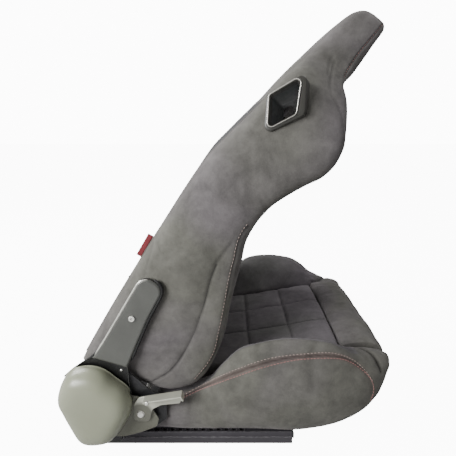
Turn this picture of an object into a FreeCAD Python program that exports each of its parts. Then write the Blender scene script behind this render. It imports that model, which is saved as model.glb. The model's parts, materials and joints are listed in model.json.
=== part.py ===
import FreeCAD, Part
import math
import os
import Sketcher

# Reclining sport seat on slide rails, backrest folded forward.
# X points forwards, Y to the sitter's left, Z up. The origin is the centre of the
# four floor bolts, on the underside of the rails.

V = FreeCAD.Vector
SIDES = (("right", -1), ("left", 1))

DRIVING_SIZES = {
    # floor rails
    "rail_spacing": 360, "rail_length": 360, "rail_width": 40, "rail_side_height": 24,
    "rail_wall": 2.5, "rail_slot": 19, "rail_lip_drop": 7, "rail_rise": 12,
    "rail_foot_height": 13, "rail_foot_proud": 2.5,
    "bolt_spacing": 300, "floor_bolt_hole": 8.5, "upper_rail_extra": 8,
    "notch_pitch": 15, "notch_width": 8, "notch_count": 12, "roller_diameter": 4.4,
    "roller_length": 30, "roller_pitch": 70, "cage_length": 230, "cage_sheet": 1.5,
    "running_gap": 0.25,
    # cushion frame
    "frame_tube_width": 24, "frame_tube_height": 20, "frame_tube_wall": 2,
    "frame_rear": -140, "frame_front": 255, "cross_tube_radius": 9, "pan_sheet": 1.5,
    "vent_pitch": 105, "vent_inner": 40, "vent_outer": 115,
    # recliner
    "pivot_x": -177, "pivot_z": 133, "rest_tilt": 31, "plate_sheet": 3, "arm_sheet": 4,
    "arm_dish": 6, "bracket_sheet": 2.5, "side_gap": 2, "plate_gap": 1.5,
    "sector_radius": 62, "tooth_depth": 5, "tooth_count": 15, "pivot_pin_radius": 7,
    "stop_radius": 38, "stop_pin_radius": 5, "recline_range": 105, "pin_clearance": 0.05,
    "arm_length": 243, "arm_screw_rise": 169, "arm_screw_back": 19,
    "cover_depth": 38, "cover_wall": 2.5, "cover_radius": 62,
    "lever_x": -99, "lever_z": 106, "lever_sheet": 3, "lever_reach": 78,
    "lever_flange": 17, "shaft_radius": 5, "spring_offset": 4, "spring_width": 7,
    # release bar under the cushion
    "bar_radius": 5, "bar_pivot_x": 20, "bar_front_x": 240, "bar_half_width": 149,
    "bar_clear": 1, "bar_bend": 20,
    # backrest, measured up from the recline pivot
    "back_half_width": 240, "back_height": 817, "centre_half_width": 170,
    "boss_radius": 9.5, "back_hoop_half_width": 159, "back_hoop_face": 18,
    "back_hoop_depth": 18,
    "panel_thickness": 14, "slot_wall": 3, "collar_lean": 12, "collar_rise": 7,
    # cushion
    "cushion_half_width": 262, "insert_half_width": 167.5, "cushion_front": 347,
    "soft_gap": 0.3, "channel_depth": 6,
}

doc = FreeCAD.newDocument("RacingSeat")
sheet = doc.addObject("Spreadsheet::Sheet", "Sizes")
for row, (alias, value) in enumerate(DRIVING_SIZES.items(), start=1):
    sheet.set("A%d" % row, alias)
    sheet.set("B%d" % row, str(value))
    sheet.setAlias("B%d" % row, alias)
doc.recompute()


class Size:
    """A length that carries its value and the sheet expression that gives it."""

    def __init__(self, value, text):
        self.value = float(value)
        self.text = text

    def joined(self, other, sign, value, swap=False):
        text = other.text if isinstance(other, Size) else "%.9g" % other
        first, second = (text, self.text) if swap else (self.text, text)
        return Size(value, "(%s %s %s)" % (first, sign, second))

    def __add__(self, other):
        return self.joined(other, "+", self.value + float(other))

    def __radd__(self, other):
        return self.joined(other, "+", float(other) + self.value, swap=True)

    def __sub__(self, other):
        return self.joined(other, "-", self.value - float(other))

    def __rsub__(self, other):
        return self.joined(other, "-", float(other) - self.value, swap=True)

    def __mul__(self, other):
        return self.joined(other, "*", self.value * float(other))

    def __rmul__(self, other):
        return self.joined(other, "*", float(other) * self.value, swap=True)

    def __truediv__(self, other):
        return self.joined(other, "/", self.value / float(other))

    def __neg__(self):
        return Size(-self.value, "(0 - %s)" % self.text)

    def __float__(self):
        return self.value


class Sizes:
    """Every cell of the sheet as a Size, read back from the sheet."""


for alias in DRIVING_SIZES:
    setattr(Sizes, alias, Size(getattr(sheet, alias), "Sizes.%s" % alias))

S = Sizes
RAIL_TOP = S.rail_side_height + S.rail_rise
BAR_HEIGHT = S.rail_side_height + S.bar_clear
ORIGIN = (0, 0, 0)


def bind(thing, prop, size):
    """Ties a property to the sheet, or sets it when it is a plain number."""
    if isinstance(size, Size):
        thing.setExpression(prop, size.text)
    else:
        thing.setExpression(prop, "%.9g" % size)


def place(thing, at=ORIGIN, tilt=0):
    """Places a sub-part, turned forwards about Y by tilt."""
    thing.Placement = FreeCAD.Placement(V(*map(float, at)),
                                        FreeCAD.Rotation(V(0, 1, 0), float(tilt)))
    for axis, size in zip("xyz", at):
        bind(thing, "Placement.Base.%s" % axis, size)
    if isinstance(tilt, Size):
        thing.setExpression("Placement.Rotation.Angle", tilt.text)


def new_body(label, at=ORIGIN, tilt=0):
    body = doc.addObject("PartDesign::Body", label)
    body.Label = label
    place(body, at, tilt)
    return body


def new_sketch(body, plane, offset=0):
    """A sketch on one of the body's own origin planes, raised along its normal."""
    sketch = body.newObject("Sketcher::SketchObject", body.Label + "_sketch")
    support = [f for f in body.Origin.OriginFeatures if f.Role == plane][0]
    sketch.AttachmentSupport = [(support, "")]
    sketch.MapMode = "FlatFace"
    sketch.AttachmentOffset = FreeCAD.Placement(V(0, 0, float(offset)), FreeCAD.Rotation())
    if isinstance(offset, Size):
        sketch.setExpression("AttachmentOffset.Base.z", offset.text)
    return sketch


def tie(sketch, kind, index, point, size):
    key = sketch.addConstraint(Sketcher.Constraint(kind, -1, 1, index, point, float(size)))
    bind(sketch, "Constraints[%d]" % key, size)


def draw_loop(sketch, corners):
    """A closed loop of straight edges with every corner tied to the sheet."""
    first = sketch.GeometryCount
    points = [V(float(across), float(up), 0) for across, up in corners]
    for start, end in zip(points, points[1:] + points[:1]):
        sketch.addGeometry(Part.LineSegment(start, end), False)
    for index in range(len(corners)):
        following = first + (index + 1) % len(corners)
        sketch.addConstraint(Sketcher.Constraint("Coincident", first + index, 2, following, 1))
    for index, (across, up) in enumerate(corners):
        tie(sketch, "DistanceX", first + index, 1, across)
        tie(sketch, "DistanceY", first + index, 1, up)


def draw_circle(sketch, across, up, radius):
    centre = V(float(across), float(up), 0)
    index = sketch.addGeometry(Part.Circle(centre, V(0, 0, 1), float(radius)), False)
    key = sketch.addConstraint(Sketcher.Constraint("Radius", index, float(radius)))
    bind(sketch, "Constraints[%d]" % key, radius)
    tie(sketch, "DistanceX", index, 3, across)
    tie(sketch, "DistanceY", index, 3, up)


def rectangle(left, bottom, right, top):
    return [(left, bottom), (right, bottom), (right, top), (left, top)]


def pad(body, sketch, length, reverse=False, midplane=False):
    feature = body.newObject("PartDesign::Pad", body.Label + "_pad")
    feature.Profile = sketch
    feature.Reversed = reverse
    feature.Midplane = midplane
    bind(feature, "Length", length)
    doc.recompute()
    return feature


def pocket(body, sketch, length, reverse=False, midplane=False):
    """Cuts a sketch away and makes sure that it met the solid."""
    before = body.Shape.Volume
    feature = body.newObject("PartDesign::Pocket", body.Label + "_pocket")
    feature.Profile = sketch
    feature.Reversed = reverse
    feature.Midplane = midplane
    bind(feature, "Length", length)
    doc.recompute()
    if body.Shape.Volume >= before - 1e-6:
        raise RuntimeError("a pocket misses " + body.Label)
    return feature


def repeat(body, feature, axis, spacing, count):
    """Repeats a feature in a line along one of the body's axes."""
    pattern = body.newObject("PartDesign::LinearPattern", body.Label + "_row")
    pattern.Originals = [feature]
    line = [f for f in body.Origin.OriginFeatures if f.Role == axis][0]
    pattern.Direction = (line, [""])
    pattern.Mode = "Spacing"
    bind(pattern, "Offset", spacing)
    bind(pattern, "Occurrences", count)
    body.Tip = pattern
    doc.recompute()
    return pattern


def round_edges(body, places, radius, along):
    """Rounds the straight edges along one axis that pass through the given places."""
    axes = [axis for axis in "xyz" if axis != along]
    tip = body.Tip
    names = []
    for number, edge in enumerate(tip.Shape.Edges, start=1):
        direction = edge.tangentAt(edge.FirstParameter)
        if abs(getattr(direction, along)) < 0.999:
            continue
        middle = edge.CenterOfMass
        for spot in places:
            gaps = [abs(getattr(middle, axis) - float(size)) for axis, size in zip(axes, spot)]
            if max(gaps) < 0.05:
                names.append("Edge%d" % number)
    if len(names) < len(places):
        raise RuntimeError("an edge to round is missing on " + body.Label)
    return add_fillet(body, names, radius)


def round_rim(body, face_y, radius):
    """Rounds every edge that lies in one face across Y."""
    names = []
    for number, edge in enumerate(body.Tip.Shape.Edges, start=1):
        box = edge.BoundBox
        if max(abs(box.YMin - float(face_y)), abs(box.YMax - float(face_y))) < 1e-3:
            names.append("Edge%d" % number)
    return add_fillet(body, names, radius)


def add_fillet(body, names, radius):
    base = body.Tip
    fillet = body.newObject("PartDesign::Fillet", body.Label + "_round")
    fillet.Base = (base, names)
    bind(fillet, "Radius", radius)
    doc.recompute()
    return fillet


def solid_part(label, shape, at=ORIGIN, tilt=0):
    """A sub-part whose curved shape is built here and then placed."""
    part = doc.addObject("Part::Feature", label)
    part.Label = label
    part.Shape = shape
    place(part, at, tilt)
    return part


def bar_along_y(radius, near, far, x=0, z=0):
    """A round bar along Y between two Y values."""
    low, high = sorted((float(near), float(far)))
    return Part.makeCylinder(float(radius), high - low, V(float(x), low, float(z)), V(0, 1, 0))


def chords(start, middle, end, count=3):
    """An arc through three points as a short row of corners."""
    return Part.Arc(start, middle, end).toShape().discretize(Number=count + 1)


def loop_through(runs):
    """A closed outline through rows of corners, without repeating a shared corner."""
    corners = []
    for run in runs:
        for point in run:
            if not corners or corners[-1].distanceToPoint(point) > 1e-6:
                corners.append(point)
    if corners[0].distanceToPoint(corners[-1]) < 1e-6:
        corners.pop()
    return Part.makePolygon(corners + corners[:1])


def skin(wires):
    """A closed solid through a row of like wires, straight from each to the next."""
    return Part.makeLoft(wires, True, True)


def outline_wire(points):
    corners = [V(*map(float, point)) for point in points]
    return Part.makePolygon(corners + corners[:1])


def plate_along_y(points, near, far):
    """A plate from an X-Z outline, between two Y values."""
    low, high = sorted((float(near), float(far)))
    face = Part.Face(outline_wire([(x, low, z) for x, z in points]))
    return face.extrude(V(0, high - low, 0))


def bent_path(points, bend):
    """A wire of straight runs joined by tangent arcs of one bend radius."""
    edges = []
    start = points[0]
    for before, corner, after in zip(points, points[1:], points[2:]):
        inward = (before - corner).normalize()
        outward = (after - corner).normalize()
        half = inward.getAngle(outward) / 2
        reach = bend / math.tan(half)
        first = corner + inward * reach
        last = corner + outward * reach
        bisector = (inward + outward).normalize()
        middle = corner + bisector * (bend / math.sin(half) - bend)
        edges.append(Part.LineSegment(start, first).toShape())
        edges.append(Part.Arc(first, middle, last).toShape())
        start = last
    edges.append(Part.LineSegment(start, points[-1]).toShape())
    return Part.Wire(edges)


def rounded_loop(points, radius):
    """A closed outline with every corner rounded by short chords of a tangent arc."""
    runs = []
    for before, corner, after in zip(points[-1:] + points[:-1], points, points[1:] + points[:1]):
        inward = (before - corner).normalize()
        outward = (after - corner).normalize()
        half = inward.getAngle(outward) / 2
        reach = radius / math.tan(half)
        middle = corner + (inward + outward).normalize() * (radius / math.sin(half) - radius)
        runs.append(chords(corner + inward * reach, middle, corner + outward * reach))
    return loop_through(runs)


def bent_tube(points, bend, radius):
    path = bent_path(points, bend)
    circle = Part.Circle(points[0], points[1] - points[0], radius).toShape()
    return path.makePipe(Part.Face(Part.Wire([circle])))


def blend(stations, at, column):
    """A column of the stations, joined by smooth steps between them."""
    if at <= stations[0][0]:
        return stations[0][column]
    for low, high in zip(stations, stations[1:]):
        if at <= high[0]:
            share = (at - low[0]) / (high[0] - low[0])
            return low[column] + (high[column] - low[column]) * share
    return stations[-1][column]


def rail_sections():
    """Half outlines of the lower channel and of the hat that runs inside it."""
    half = S.rail_width / 2
    slot = S.rail_slot / 2
    wall = S.rail_wall
    height = S.rail_side_height
    drop = height - S.rail_lip_drop
    foot_edge = half + S.rail_foot_proud
    lower = [(foot_edge, 0), (foot_edge, S.rail_foot_height), (half, S.rail_foot_height),
             (half, height), (slot, height), (slot, drop),
             (slot + wall, drop), (slot + wall, height - wall), (half - wall, height - wall),
             (half - wall, wall)]
    web = slot - 1.2
    hook = half - wall - 1
    foot = wall + S.roller_diameter + 2 * S.running_gap
    flange = half - 2
    upper = [(flange, RAIL_TOP), (flange, RAIL_TOP - wall), (web, RAIL_TOP - wall),
             (web, foot + wall), (hook - wall, foot + wall), (hook - wall, height - 5),
             (hook, height - 5), (hook, foot), (web - wall, foot),
             (web - wall, RAIL_TOP - wall)]
    return lower, upper


def mirrored(half_outline):
    """Adds the other half of an outline that is alike about the vertical."""
    return half_outline + [(-across, up) for across, up in reversed(half_outline)]


def make_rails():
    lower_half, upper_half = rail_sections()
    for side, sign in SIDES:
        centre = sign * S.rail_spacing / 2
        lower = new_body("lower_rail_" + side, (0, centre, 0))
        sketch = new_sketch(lower, "YZ_Plane")
        draw_loop(sketch, mirrored(lower_half))
        pad(lower, sketch, S.rail_length, midplane=True)
        holes = new_sketch(lower, "XY_Plane")
        for end in (-1, 1):
            draw_circle(holes, end * S.bolt_spacing / 2, 0, S.floor_bolt_hole / 2)
        pocket(lower, holes, S.rail_wall * 2, midplane=True)
        notch = new_sketch(lower, "XZ_Plane")
        first = -(S.notch_count - 1) * S.notch_pitch / 2
        draw_loop(notch, rectangle(first - S.notch_width / 2, S.rail_side_height - 4,
                                   first + S.notch_width / 2, S.rail_side_height + 1))
        row = pocket(lower, notch, S.rail_width - 3 * S.rail_wall, midplane=True)
        repeat(lower, row, "X_Axis", S.notch_pitch, S.notch_count)

        upper = new_body("upper_rail_" + side, (0, centre, 0))
        sketch = new_sketch(upper, "YZ_Plane")
        draw_loop(sketch, mirrored(upper_half))
        pad(upper, sketch, S.rail_length + S.upper_rail_extra, midplane=True)


def make_roller_cages():
    middle = S.rail_wall + S.running_gap + S.roller_diameter / 2
    for side, sign in SIDES:
        centre = sign * S.rail_spacing / 2
        cage = new_body("roller_cage_" + side, (0, centre, middle - S.cage_sheet / 2))
        sketch = new_sketch(cage, "XY_Plane")
        half = S.roller_length / 2 + 1.8
        draw_loop(sketch, rectangle(-S.cage_length / 2, -half, S.cage_length / 2, half))
        pad(cage, sketch, S.cage_sheet)
        window = new_sketch(cage, "XY_Plane")
        reach = S.roller_diameter / 2 + S.running_gap
        first = -S.roller_pitch * 1.5
        draw_loop(window, rectangle(first - reach, 0.3 - half + 1.2,
                                    first + reach, half - 1.5))
        cut = pocket(cage, window, S.cage_sheet * 3, midplane=True)
        repeat(cage, cut, "X_Axis", S.roller_pitch, 4)
        radius = float(S.roller_diameter / 2)
        length = float(S.roller_length)
        rollers = [Part.makeCylinder(radius, length,
                                     V((step - 1.5) * float(S.roller_pitch), -length / 2, 0),
                                     V(0, 1, 0)) for step in range(4)]
        solid_part("rail_rollers_" + side, Part.makeCompound(rollers), (0, centre, middle))


def make_cushion_frame():
    foot = RAIL_TOP + S.plate_sheet
    top = foot + S.frame_tube_height
    length = S.frame_front - S.frame_rear
    middle = (S.frame_front + S.frame_rear) / 2
    half = S.frame_tube_width / 2
    for side, sign in SIDES:
        tube = new_body("side_tube_" + side, (middle, sign * S.rail_spacing / 2, foot))
        sketch = new_sketch(tube, "YZ_Plane")
        draw_loop(sketch, rectangle(-half, 0, half, S.frame_tube_height))
        draw_loop(sketch, rectangle(S.frame_tube_wall - half, S.frame_tube_wall,
                                    half - S.frame_tube_wall,
                                    S.frame_tube_height - S.frame_tube_wall))
        pad(tube, sketch, length, midplane=True)
        riser = new_body("front_riser_" + side, (S.rail_length / 2 - 30,
                                                 sign * S.rail_spacing / 2, RAIL_TOP))
        sketch = new_sketch(riser, "XY_Plane")
        draw_loop(sketch, rectangle(-20, -half, 20, half))
        pad(riser, sketch, S.plate_sheet)

    span = S.rail_spacing - S.frame_tube_width
    height = foot + S.frame_tube_height / 2 - 0.5
    radius = S.cross_tube_radius
    for name, x in (("rear_cross_tube", S.frame_rear + 22),
                    ("front_cross_tube", S.frame_front - 60)):
        cross = new_body(name, (x, 0, height))
        sketch = new_sketch(cross, "XZ_Plane")
        draw_circle(sketch, 0, 0, radius)
        draw_circle(sketch, 0, 0, radius - 2)
        pad(cross, sketch, span, midplane=True)

    pan = new_body("seat_pan", (middle, 0, top))
    reach = S.rail_spacing / 2 + half
    sketch = new_sketch(pan, "XY_Plane")
    draw_loop(sketch, rectangle(-length / 2, -reach, length / 2, reach))
    pad(pan, sketch, S.pan_sheet)
    round_edges(pan, [(x, y) for x in (-length / 2, length / 2) for y in (-reach, reach)],
                18, "z")
    vents = new_sketch(pan, "XY_Plane")
    for step in (-1, 0, 1):
        centre = step * S.vent_pitch
        for low, high in ((-S.vent_outer, -S.vent_inner), (S.vent_inner, S.vent_outer)):
            draw_loop(vents, rectangle(centre - 18, low, centre + 18, high))
    pocket(pan, vents, S.pan_sheet * 3, midplane=True)


def recliner_layers():
    """Distances from the seat's middle plane to the inner face of each side plate."""
    base = S.back_half_width + S.side_gap
    arm = base + S.plate_sheet + 1
    bracket = arm + S.arm_sheet + S.plate_gap
    lever = bracket + S.bracket_sheet + S.plate_gap
    return base, arm, bracket, lever


PIVOT = (S.pivot_x, 0, S.pivot_z)
BASE_IN, ARM_IN, BRACKET_IN, LEVER_IN = recliner_layers()
LEVER_OFFSET = (S.lever_x - S.pivot_x, S.lever_z - S.pivot_z)
PAWL_PIVOT = (60, -57)


def at_pivot(distance, sign):
    return (S.pivot_x, sign * distance, S.pivot_z)


def make_base_plates():
    foot = RAIL_TOP - S.pivot_z
    hump = [(94, 11), (75, 31), (57, 47), (43, 50), (31, 41)]
    edge = [(-26, foot), (36, foot), (42, -72), (98, -66), (122, -44), (122, -5)] + hump + \
        [(-20, 45), (-48, 14), (-50, -40)]
    for side, sign in SIDES:
        outward = sign < 0
        plate = new_body("recliner_base_" + side, at_pivot(BASE_IN, sign))
        sketch = new_sketch(plate, "XZ_Plane")
        draw_loop(sketch, edge)
        draw_circle(sketch, 0, 0, S.pivot_pin_radius + S.pin_clearance)
        draw_circle(sketch, LEVER_OFFSET[0], LEVER_OFFSET[1],
                    S.shaft_radius + S.pin_clearance)
        pad(plate, sketch, S.plate_sheet, reverse=not outward)
        flange = new_sketch(plate, "XY_Plane", foot)
        depth = BASE_IN + S.plate_sheet - (S.rail_spacing / 2 - S.frame_tube_width / 2)
        inner = -sign * (depth - S.plate_sheet)
        outer = sign * S.plate_sheet
        draw_loop(flange, rectangle(-26, inner, 36, outer))
        pad(plate, flange, S.plate_sheet)
        round_edges(plate, [(-48, 14), (-50, -40), (98, -66), (122, -44)], 10, "y")


def sector_outline():
    """The recliner arm from its toothed sector to its rounded top."""
    top = S.arm_length
    return [(-67, 5), (-61, 32), (-53, 50), (-43, 68), (-41, 118), (-41, top + 1),
            (2, top + 1), (5, 180), (10, 140), (18, 82), (58, 20), (0, -20)]


def make_arms():
    outline = sector_outline()
    teeth_from = -99
    teeth_to = -29
    for side, sign in SIDES:
        outward = sign < 0
        arm = new_body("recliner_arm_" + side, at_pivot(ARM_IN, sign), S.rest_tilt)
        sketch = new_sketch(arm, "XZ_Plane")
        draw_loop(sketch, outline)
        pad(arm, sketch, S.arm_sheet, reverse=not outward)
        disc = new_sketch(arm, "XZ_Plane")
        draw_circle(disc, 0, 0, S.sector_radius)
        pad(arm, disc, S.arm_sheet, reverse=not outward)
        dish_sketch = new_sketch(arm, "XZ_Plane", S.arm_sheet * -sign)
        draw_loop(dish_sketch, outline[3:10])
        pad(arm, dish_sketch, S.arm_dish, reverse=not outward)
        round_edges(arm, [outline[5], outline[6]], 19, "y")
        round_rim(arm, sign * (S.arm_sheet + S.arm_dish), S.arm_dish - 1.5)
        holes = new_sketch(arm, "XZ_Plane")
        draw_circle(holes, 0, 0, S.pivot_pin_radius + S.pin_clearance)
        pocket(arm, holes, S.arm_sheet * 3, midplane=True)
        slot = new_sketch(arm, "XZ_Plane")
        draw_stop_slot(slot)
        pocket(arm, slot, S.arm_sheet * 3, midplane=True)
        notch = new_sketch(arm, "XZ_Plane")
        root = S.sector_radius - S.tooth_depth
        pitch = (teeth_to - teeth_from) / float(S.tooth_count)
        start = math.radians(teeth_from)
        half = math.radians(pitch * 0.42)
        draw_loop(notch, [
            (root * math.cos(start), root * math.sin(start)),
            ((S.sector_radius + 1) * math.cos(start - half),
             (S.sector_radius + 1) * math.sin(start - half)),
            ((S.sector_radius + 1) * math.cos(start + half),
             (S.sector_radius + 1) * math.sin(start + half))])
        gap = pocket(arm, notch, S.arm_sheet * 3, midplane=True)
        ring = arm.newObject("PartDesign::PolarPattern", "arm_teeth_" + side)
        ring.Originals = [gap]
        line = [f for f in arm.Origin.OriginFeatures if f.Role == "Y_Axis"][0]
        ring.Axis = (line, [""])
        ring.Reversed = True
        ring.Angle = teeth_to - teeth_from
        bind(ring, "Occurrences", S.tooth_count)
        arm.Tip = ring
        doc.recompute()


def draw_stop_slot(sketch):
    """The arc slot that lets the stop pin run through the recline range."""
    end = float(S.rest_tilt)
    start = end - float(S.recline_range)
    reach = float(S.stop_pin_radius) + 0.3
    middle = float(S.stop_radius)
    lengthen = math.degrees(0.3 / middle)
    low = math.radians(start - lengthen)
    high = math.radians(end + lengthen)
    arcs = [(ORIGIN, middle + reach, low, high), (ORIGIN, middle - reach, low, high)]
    for centre, radius, first, last in arcs:
        circle = Part.Circle(V(*centre), V(0, 0, 1), radius)
        sketch.addGeometry(Part.ArcOfCircle(circle, first, last), False)
    for angle, turn in ((low, math.pi), (high, 0)):
        centre = V(middle * math.cos(angle), middle * math.sin(angle), 0)
        circle = Part.Circle(centre, V(0, 0, 1), reach)
        sketch.addGeometry(Part.ArcOfCircle(circle, angle + turn, angle + turn + math.pi), False)


def make_recliner_pins():
    """Pivot bolts, stop pins and the screws that hold the arms to the back frame."""
    for side, sign in SIDES:
        head_in = BASE_IN - 6
        end = BRACKET_IN + S.bracket_sheet + S.spring_offset + S.spring_width + 1
        bolt = bar_along_y(S.pivot_pin_radius, sign * head_in, sign * end)
        head = bar_along_y(S.pivot_pin_radius + 5, sign * head_in, sign * BASE_IN)
        solid_part("pivot_bolt_" + side, bolt.fuse(head).removeSplitter(), PIVOT)
        pin = bar_along_y(S.stop_pin_radius, sign * (BASE_IN + S.plate_sheet),
                          sign * BRACKET_IN, S.stop_radius)
        post = bar_along_y(4, sign * (BASE_IN + S.plate_sheet), sign * BRACKET_IN, 92, -52)
        solid_part("recliner_spacers_" + side, Part.makeCompound([pin, post]), PIVOT)
    screws = []
    for side, sign in SIDES:
        outer = float(ARM_IN + S.arm_sheet + S.arm_dish)
        back, rise = boss_places()[0]
        head = Part.makeCylinder(5, 2.8, V(-back, sign * outer, rise), V(0, sign, 0))
        floor, mouth = sorted((sign * (outer + 0.8), sign * (outer + 2.8)))
        socket = Part.makeBox(3.6, mouth - floor, 3.6, V(-back - 1.8, floor, rise - 1.8))
        screws.append(head.cut(socket))
    solid_part("arm_screws", Part.makeCompound(screws), PIVOT, S.rest_tilt)


def make_brackets():
    """Light plates outside the sector: they carry the cover and the lever shaft."""
    lever_x, lever_z = LEVER_OFFSET
    edge = [(-40, 30), (-44, -30), (-20, -74), (46, -76), (lever_x - 2, lever_z - 40),
            (lever_x + 27, lever_z - 28), (lever_x + 31, lever_z - 12), (lever_x + 16, lever_z + 14),
            (lever_x - 5, lever_z + 32), (40, 12), (10, 44), (-20, 44)]
    for side, sign in SIDES:
        outward = sign < 0
        plate = new_body("lever_bracket_" + side, at_pivot(BRACKET_IN, sign))
        sketch = new_sketch(plate, "XZ_Plane")
        draw_loop(sketch, edge)
        draw_circle(sketch, 0, 0, S.pivot_pin_radius + S.pin_clearance)
        draw_circle(sketch, lever_x, lever_z, S.shaft_radius + S.pin_clearance)
        pad(plate, sketch, S.bracket_sheet, reverse=not outward)
        rounds = [edge[2], edge[5], edge[6], edge[7], edge[10], edge[11], edge[0], edge[1]]
        round_edges(plate, rounds, 8, "y")


def teardrop(scale, y):
    """The recliner cover's outline: a round top with flanks drawn in to a flat foot."""
    radius = float(S.cover_radius) * scale
    low = 84 * scale
    corner = 15 * scale
    left = V(-20 * scale, y, corner - low)
    right = V(20 * scale, y, corner - low + 3 * scale)
    middle = V(0, y, 0)

    def tangent(first, first_radius, second, second_radius):
        """Touch points of the outer tangent to the left of the way from first to second."""
        way = second - first
        distance = math.hypot(way.x, way.z)
        heading = math.atan2(way.z, way.x)
        lean = math.acos((first_radius - second_radius) / distance)
        angle = heading + lean
        offset = V(math.cos(angle), 0, math.sin(angle))
        return first + offset * first_radius, second + offset * second_radius

    a, b = tangent(left, corner, middle, radius)
    c, d = tangent(middle, radius, right, corner)
    e, f = tangent(right, corner, left, corner)

    def over(centre, size, start, end):
        first = math.atan2(start.z - centre.z, start.x - centre.x)
        last = math.atan2(end.z - centre.z, end.x - centre.x)
        if last > first:
            last -= 2 * math.pi
        half = (first + last) / 2
        return centre + V(math.cos(half), 0, math.sin(half)) * size

    return loop_through([[a], chords(b, over(middle, radius, b, c), c, 20),
                         chords(d, over(right, corner, d, e), e),
                         chords(f, over(left, corner, f, a), a)])


def make_covers():
    """Domed plastic covers over the recliners, open towards the seat."""
    depth = float(S.cover_depth)
    wall = float(S.cover_wall)
    profile = [(1.0, 0.0), (0.98, 0.38), (0.9, 0.72), (0.74, 0.92), (0.5, 1.0)]
    shrink = (float(S.cover_radius) - wall) / float(S.cover_radius)
    for side, sign in SIDES:
        outer = [teardrop(scale, sign * rise * depth) for scale, rise in profile]
        inner = [teardrop(scale * shrink, sign * (rise * (depth - wall) - 0.01 * (rise == 0)))
                 for scale, rise in profile]
        shell = skin(outer).cut(skin(inner))
        solid_part("recliner_cover_" + side, shell.Solids[0],
                   at_pivot(BRACKET_IN + S.bracket_sheet, sign))


def make_recline_springs():
    """Flat spiral springs under the covers that fold the backrest forwards."""
    strip = 1.6
    width = float(S.spring_width)
    pitch = 6
    turns = 2
    start = float(S.pivot_pin_radius) + strip / 2 + 0.3
    for side, sign in SIDES:
        inner_edges = []
        outer_edges = []
        centre = 0
        radius = start
        up = 1
        for half_turn in range(2 * turns):
            for edges, reach in ((inner_edges, radius - strip / 2),
                                 (outer_edges, radius + strip / 2)):
                edges.append(Part.Arc(V(centre - up * reach, 0, 0), V(centre, 0, up * reach),
                                      V(centre + up * reach, 0, 0)).toShape())
            centre -= up * pitch / 4
            radius += pitch / 4
            up = -up
        first = [inner_edges[0].Vertexes[0].Point, outer_edges[0].Vertexes[0].Point]
        last = [inner_edges[-1].Vertexes[1].Point, outer_edges[-1].Vertexes[1].Point]
        ends = [Part.LineSegment(*first).toShape(), Part.LineSegment(*last).toShape()]
        band = Part.Wire(Part.__sortEdges__(inner_edges + outer_edges + ends))
        spring = Part.Face(band).extrude(V(0, sign * width, 0))
        solid_part("recline_spring_" + side, spring,
                   at_pivot(BRACKET_IN + S.bracket_sheet + S.spring_offset, sign))
    print("recline spring: least gap between turns %.2f mm" % (pitch / 2 - strip))


def make_lever():
    """Pressed release lever with a folded finger flange, and its cross shaft."""
    reach = S.lever_reach
    lift = 46
    hub = [(-2, 33), (reach - 4, lift), (reach, lift - 8), (reach - 9, 22), (36, 18), (21, 10),
           (15, -14), (-13, -14), (-11, 20)]
    lever = new_body("recline_lever", (S.lever_x, -LEVER_IN, S.lever_z))
    sketch = new_sketch(lever, "XZ_Plane")
    draw_loop(sketch, hub)
    draw_circle(sketch, 0, 0, S.shaft_radius)
    pad(lever, sketch, S.lever_sheet)
    flange = new_sketch(lever, "XZ_Plane", 0)
    draw_loop(flange, [(8, 34.7), (reach - 4, lift), (reach - 3.4, lift - 2.6), (8.4, 32)])
    pad(lever, flange, S.lever_sheet + S.lever_flange)
    lip = new_sketch(lever, "XZ_Plane", 0)
    draw_loop(lip, [(reach - 4, lift), (reach, lift - 8), (reach - 2.4, lift - 9),
                    (reach - 6, lift - 1.6)])
    pad(lever, lip, S.lever_sheet + S.lever_flange)
    round_edges(lever, [(21, 10), (15, -14), (-13, -14), (-11, 20)], 8, "y")

    outer = float(LEVER_IN + S.lever_sheet)
    shaft = bar_along_y(S.shaft_radius, -outer, float(BRACKET_IN + S.bracket_sheet))
    solid_part("lever_shaft", shaft, (S.lever_x, 0, S.lever_z))
    rivets = []
    for x, z, radius, rise in ((0, 0, 7, 3), (11, 21, 3.5, 2)):
        button = Part.makeCone(radius, radius * 0.7, rise, V(x, -outer, z), V(0, -1, 0))
        rivets.append(button)
    solid_part("lever_rivets", Part.makeCompound(rivets), (S.lever_x, 0, S.lever_z))
    cams = []
    for side, sign in SIDES:
        near = float(ARM_IN)
        far = float(ARM_IN + S.arm_sheet)
        boss = bar_along_y(11, sign * near, sign * far)
        lobe = plate_along_y([(-8, 4), (-10, -14), (-2, -15), (9, -4)], sign * near, sign * far)
        hole = bar_along_y(S.shaft_radius, sign * near, sign * far)
        cams.append(boss.fuse(lobe).cut(hole).removeSplitter())
    solid_part("pawl_cams", Part.makeCompound(cams), (S.lever_x, 0, S.lever_z))


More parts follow.
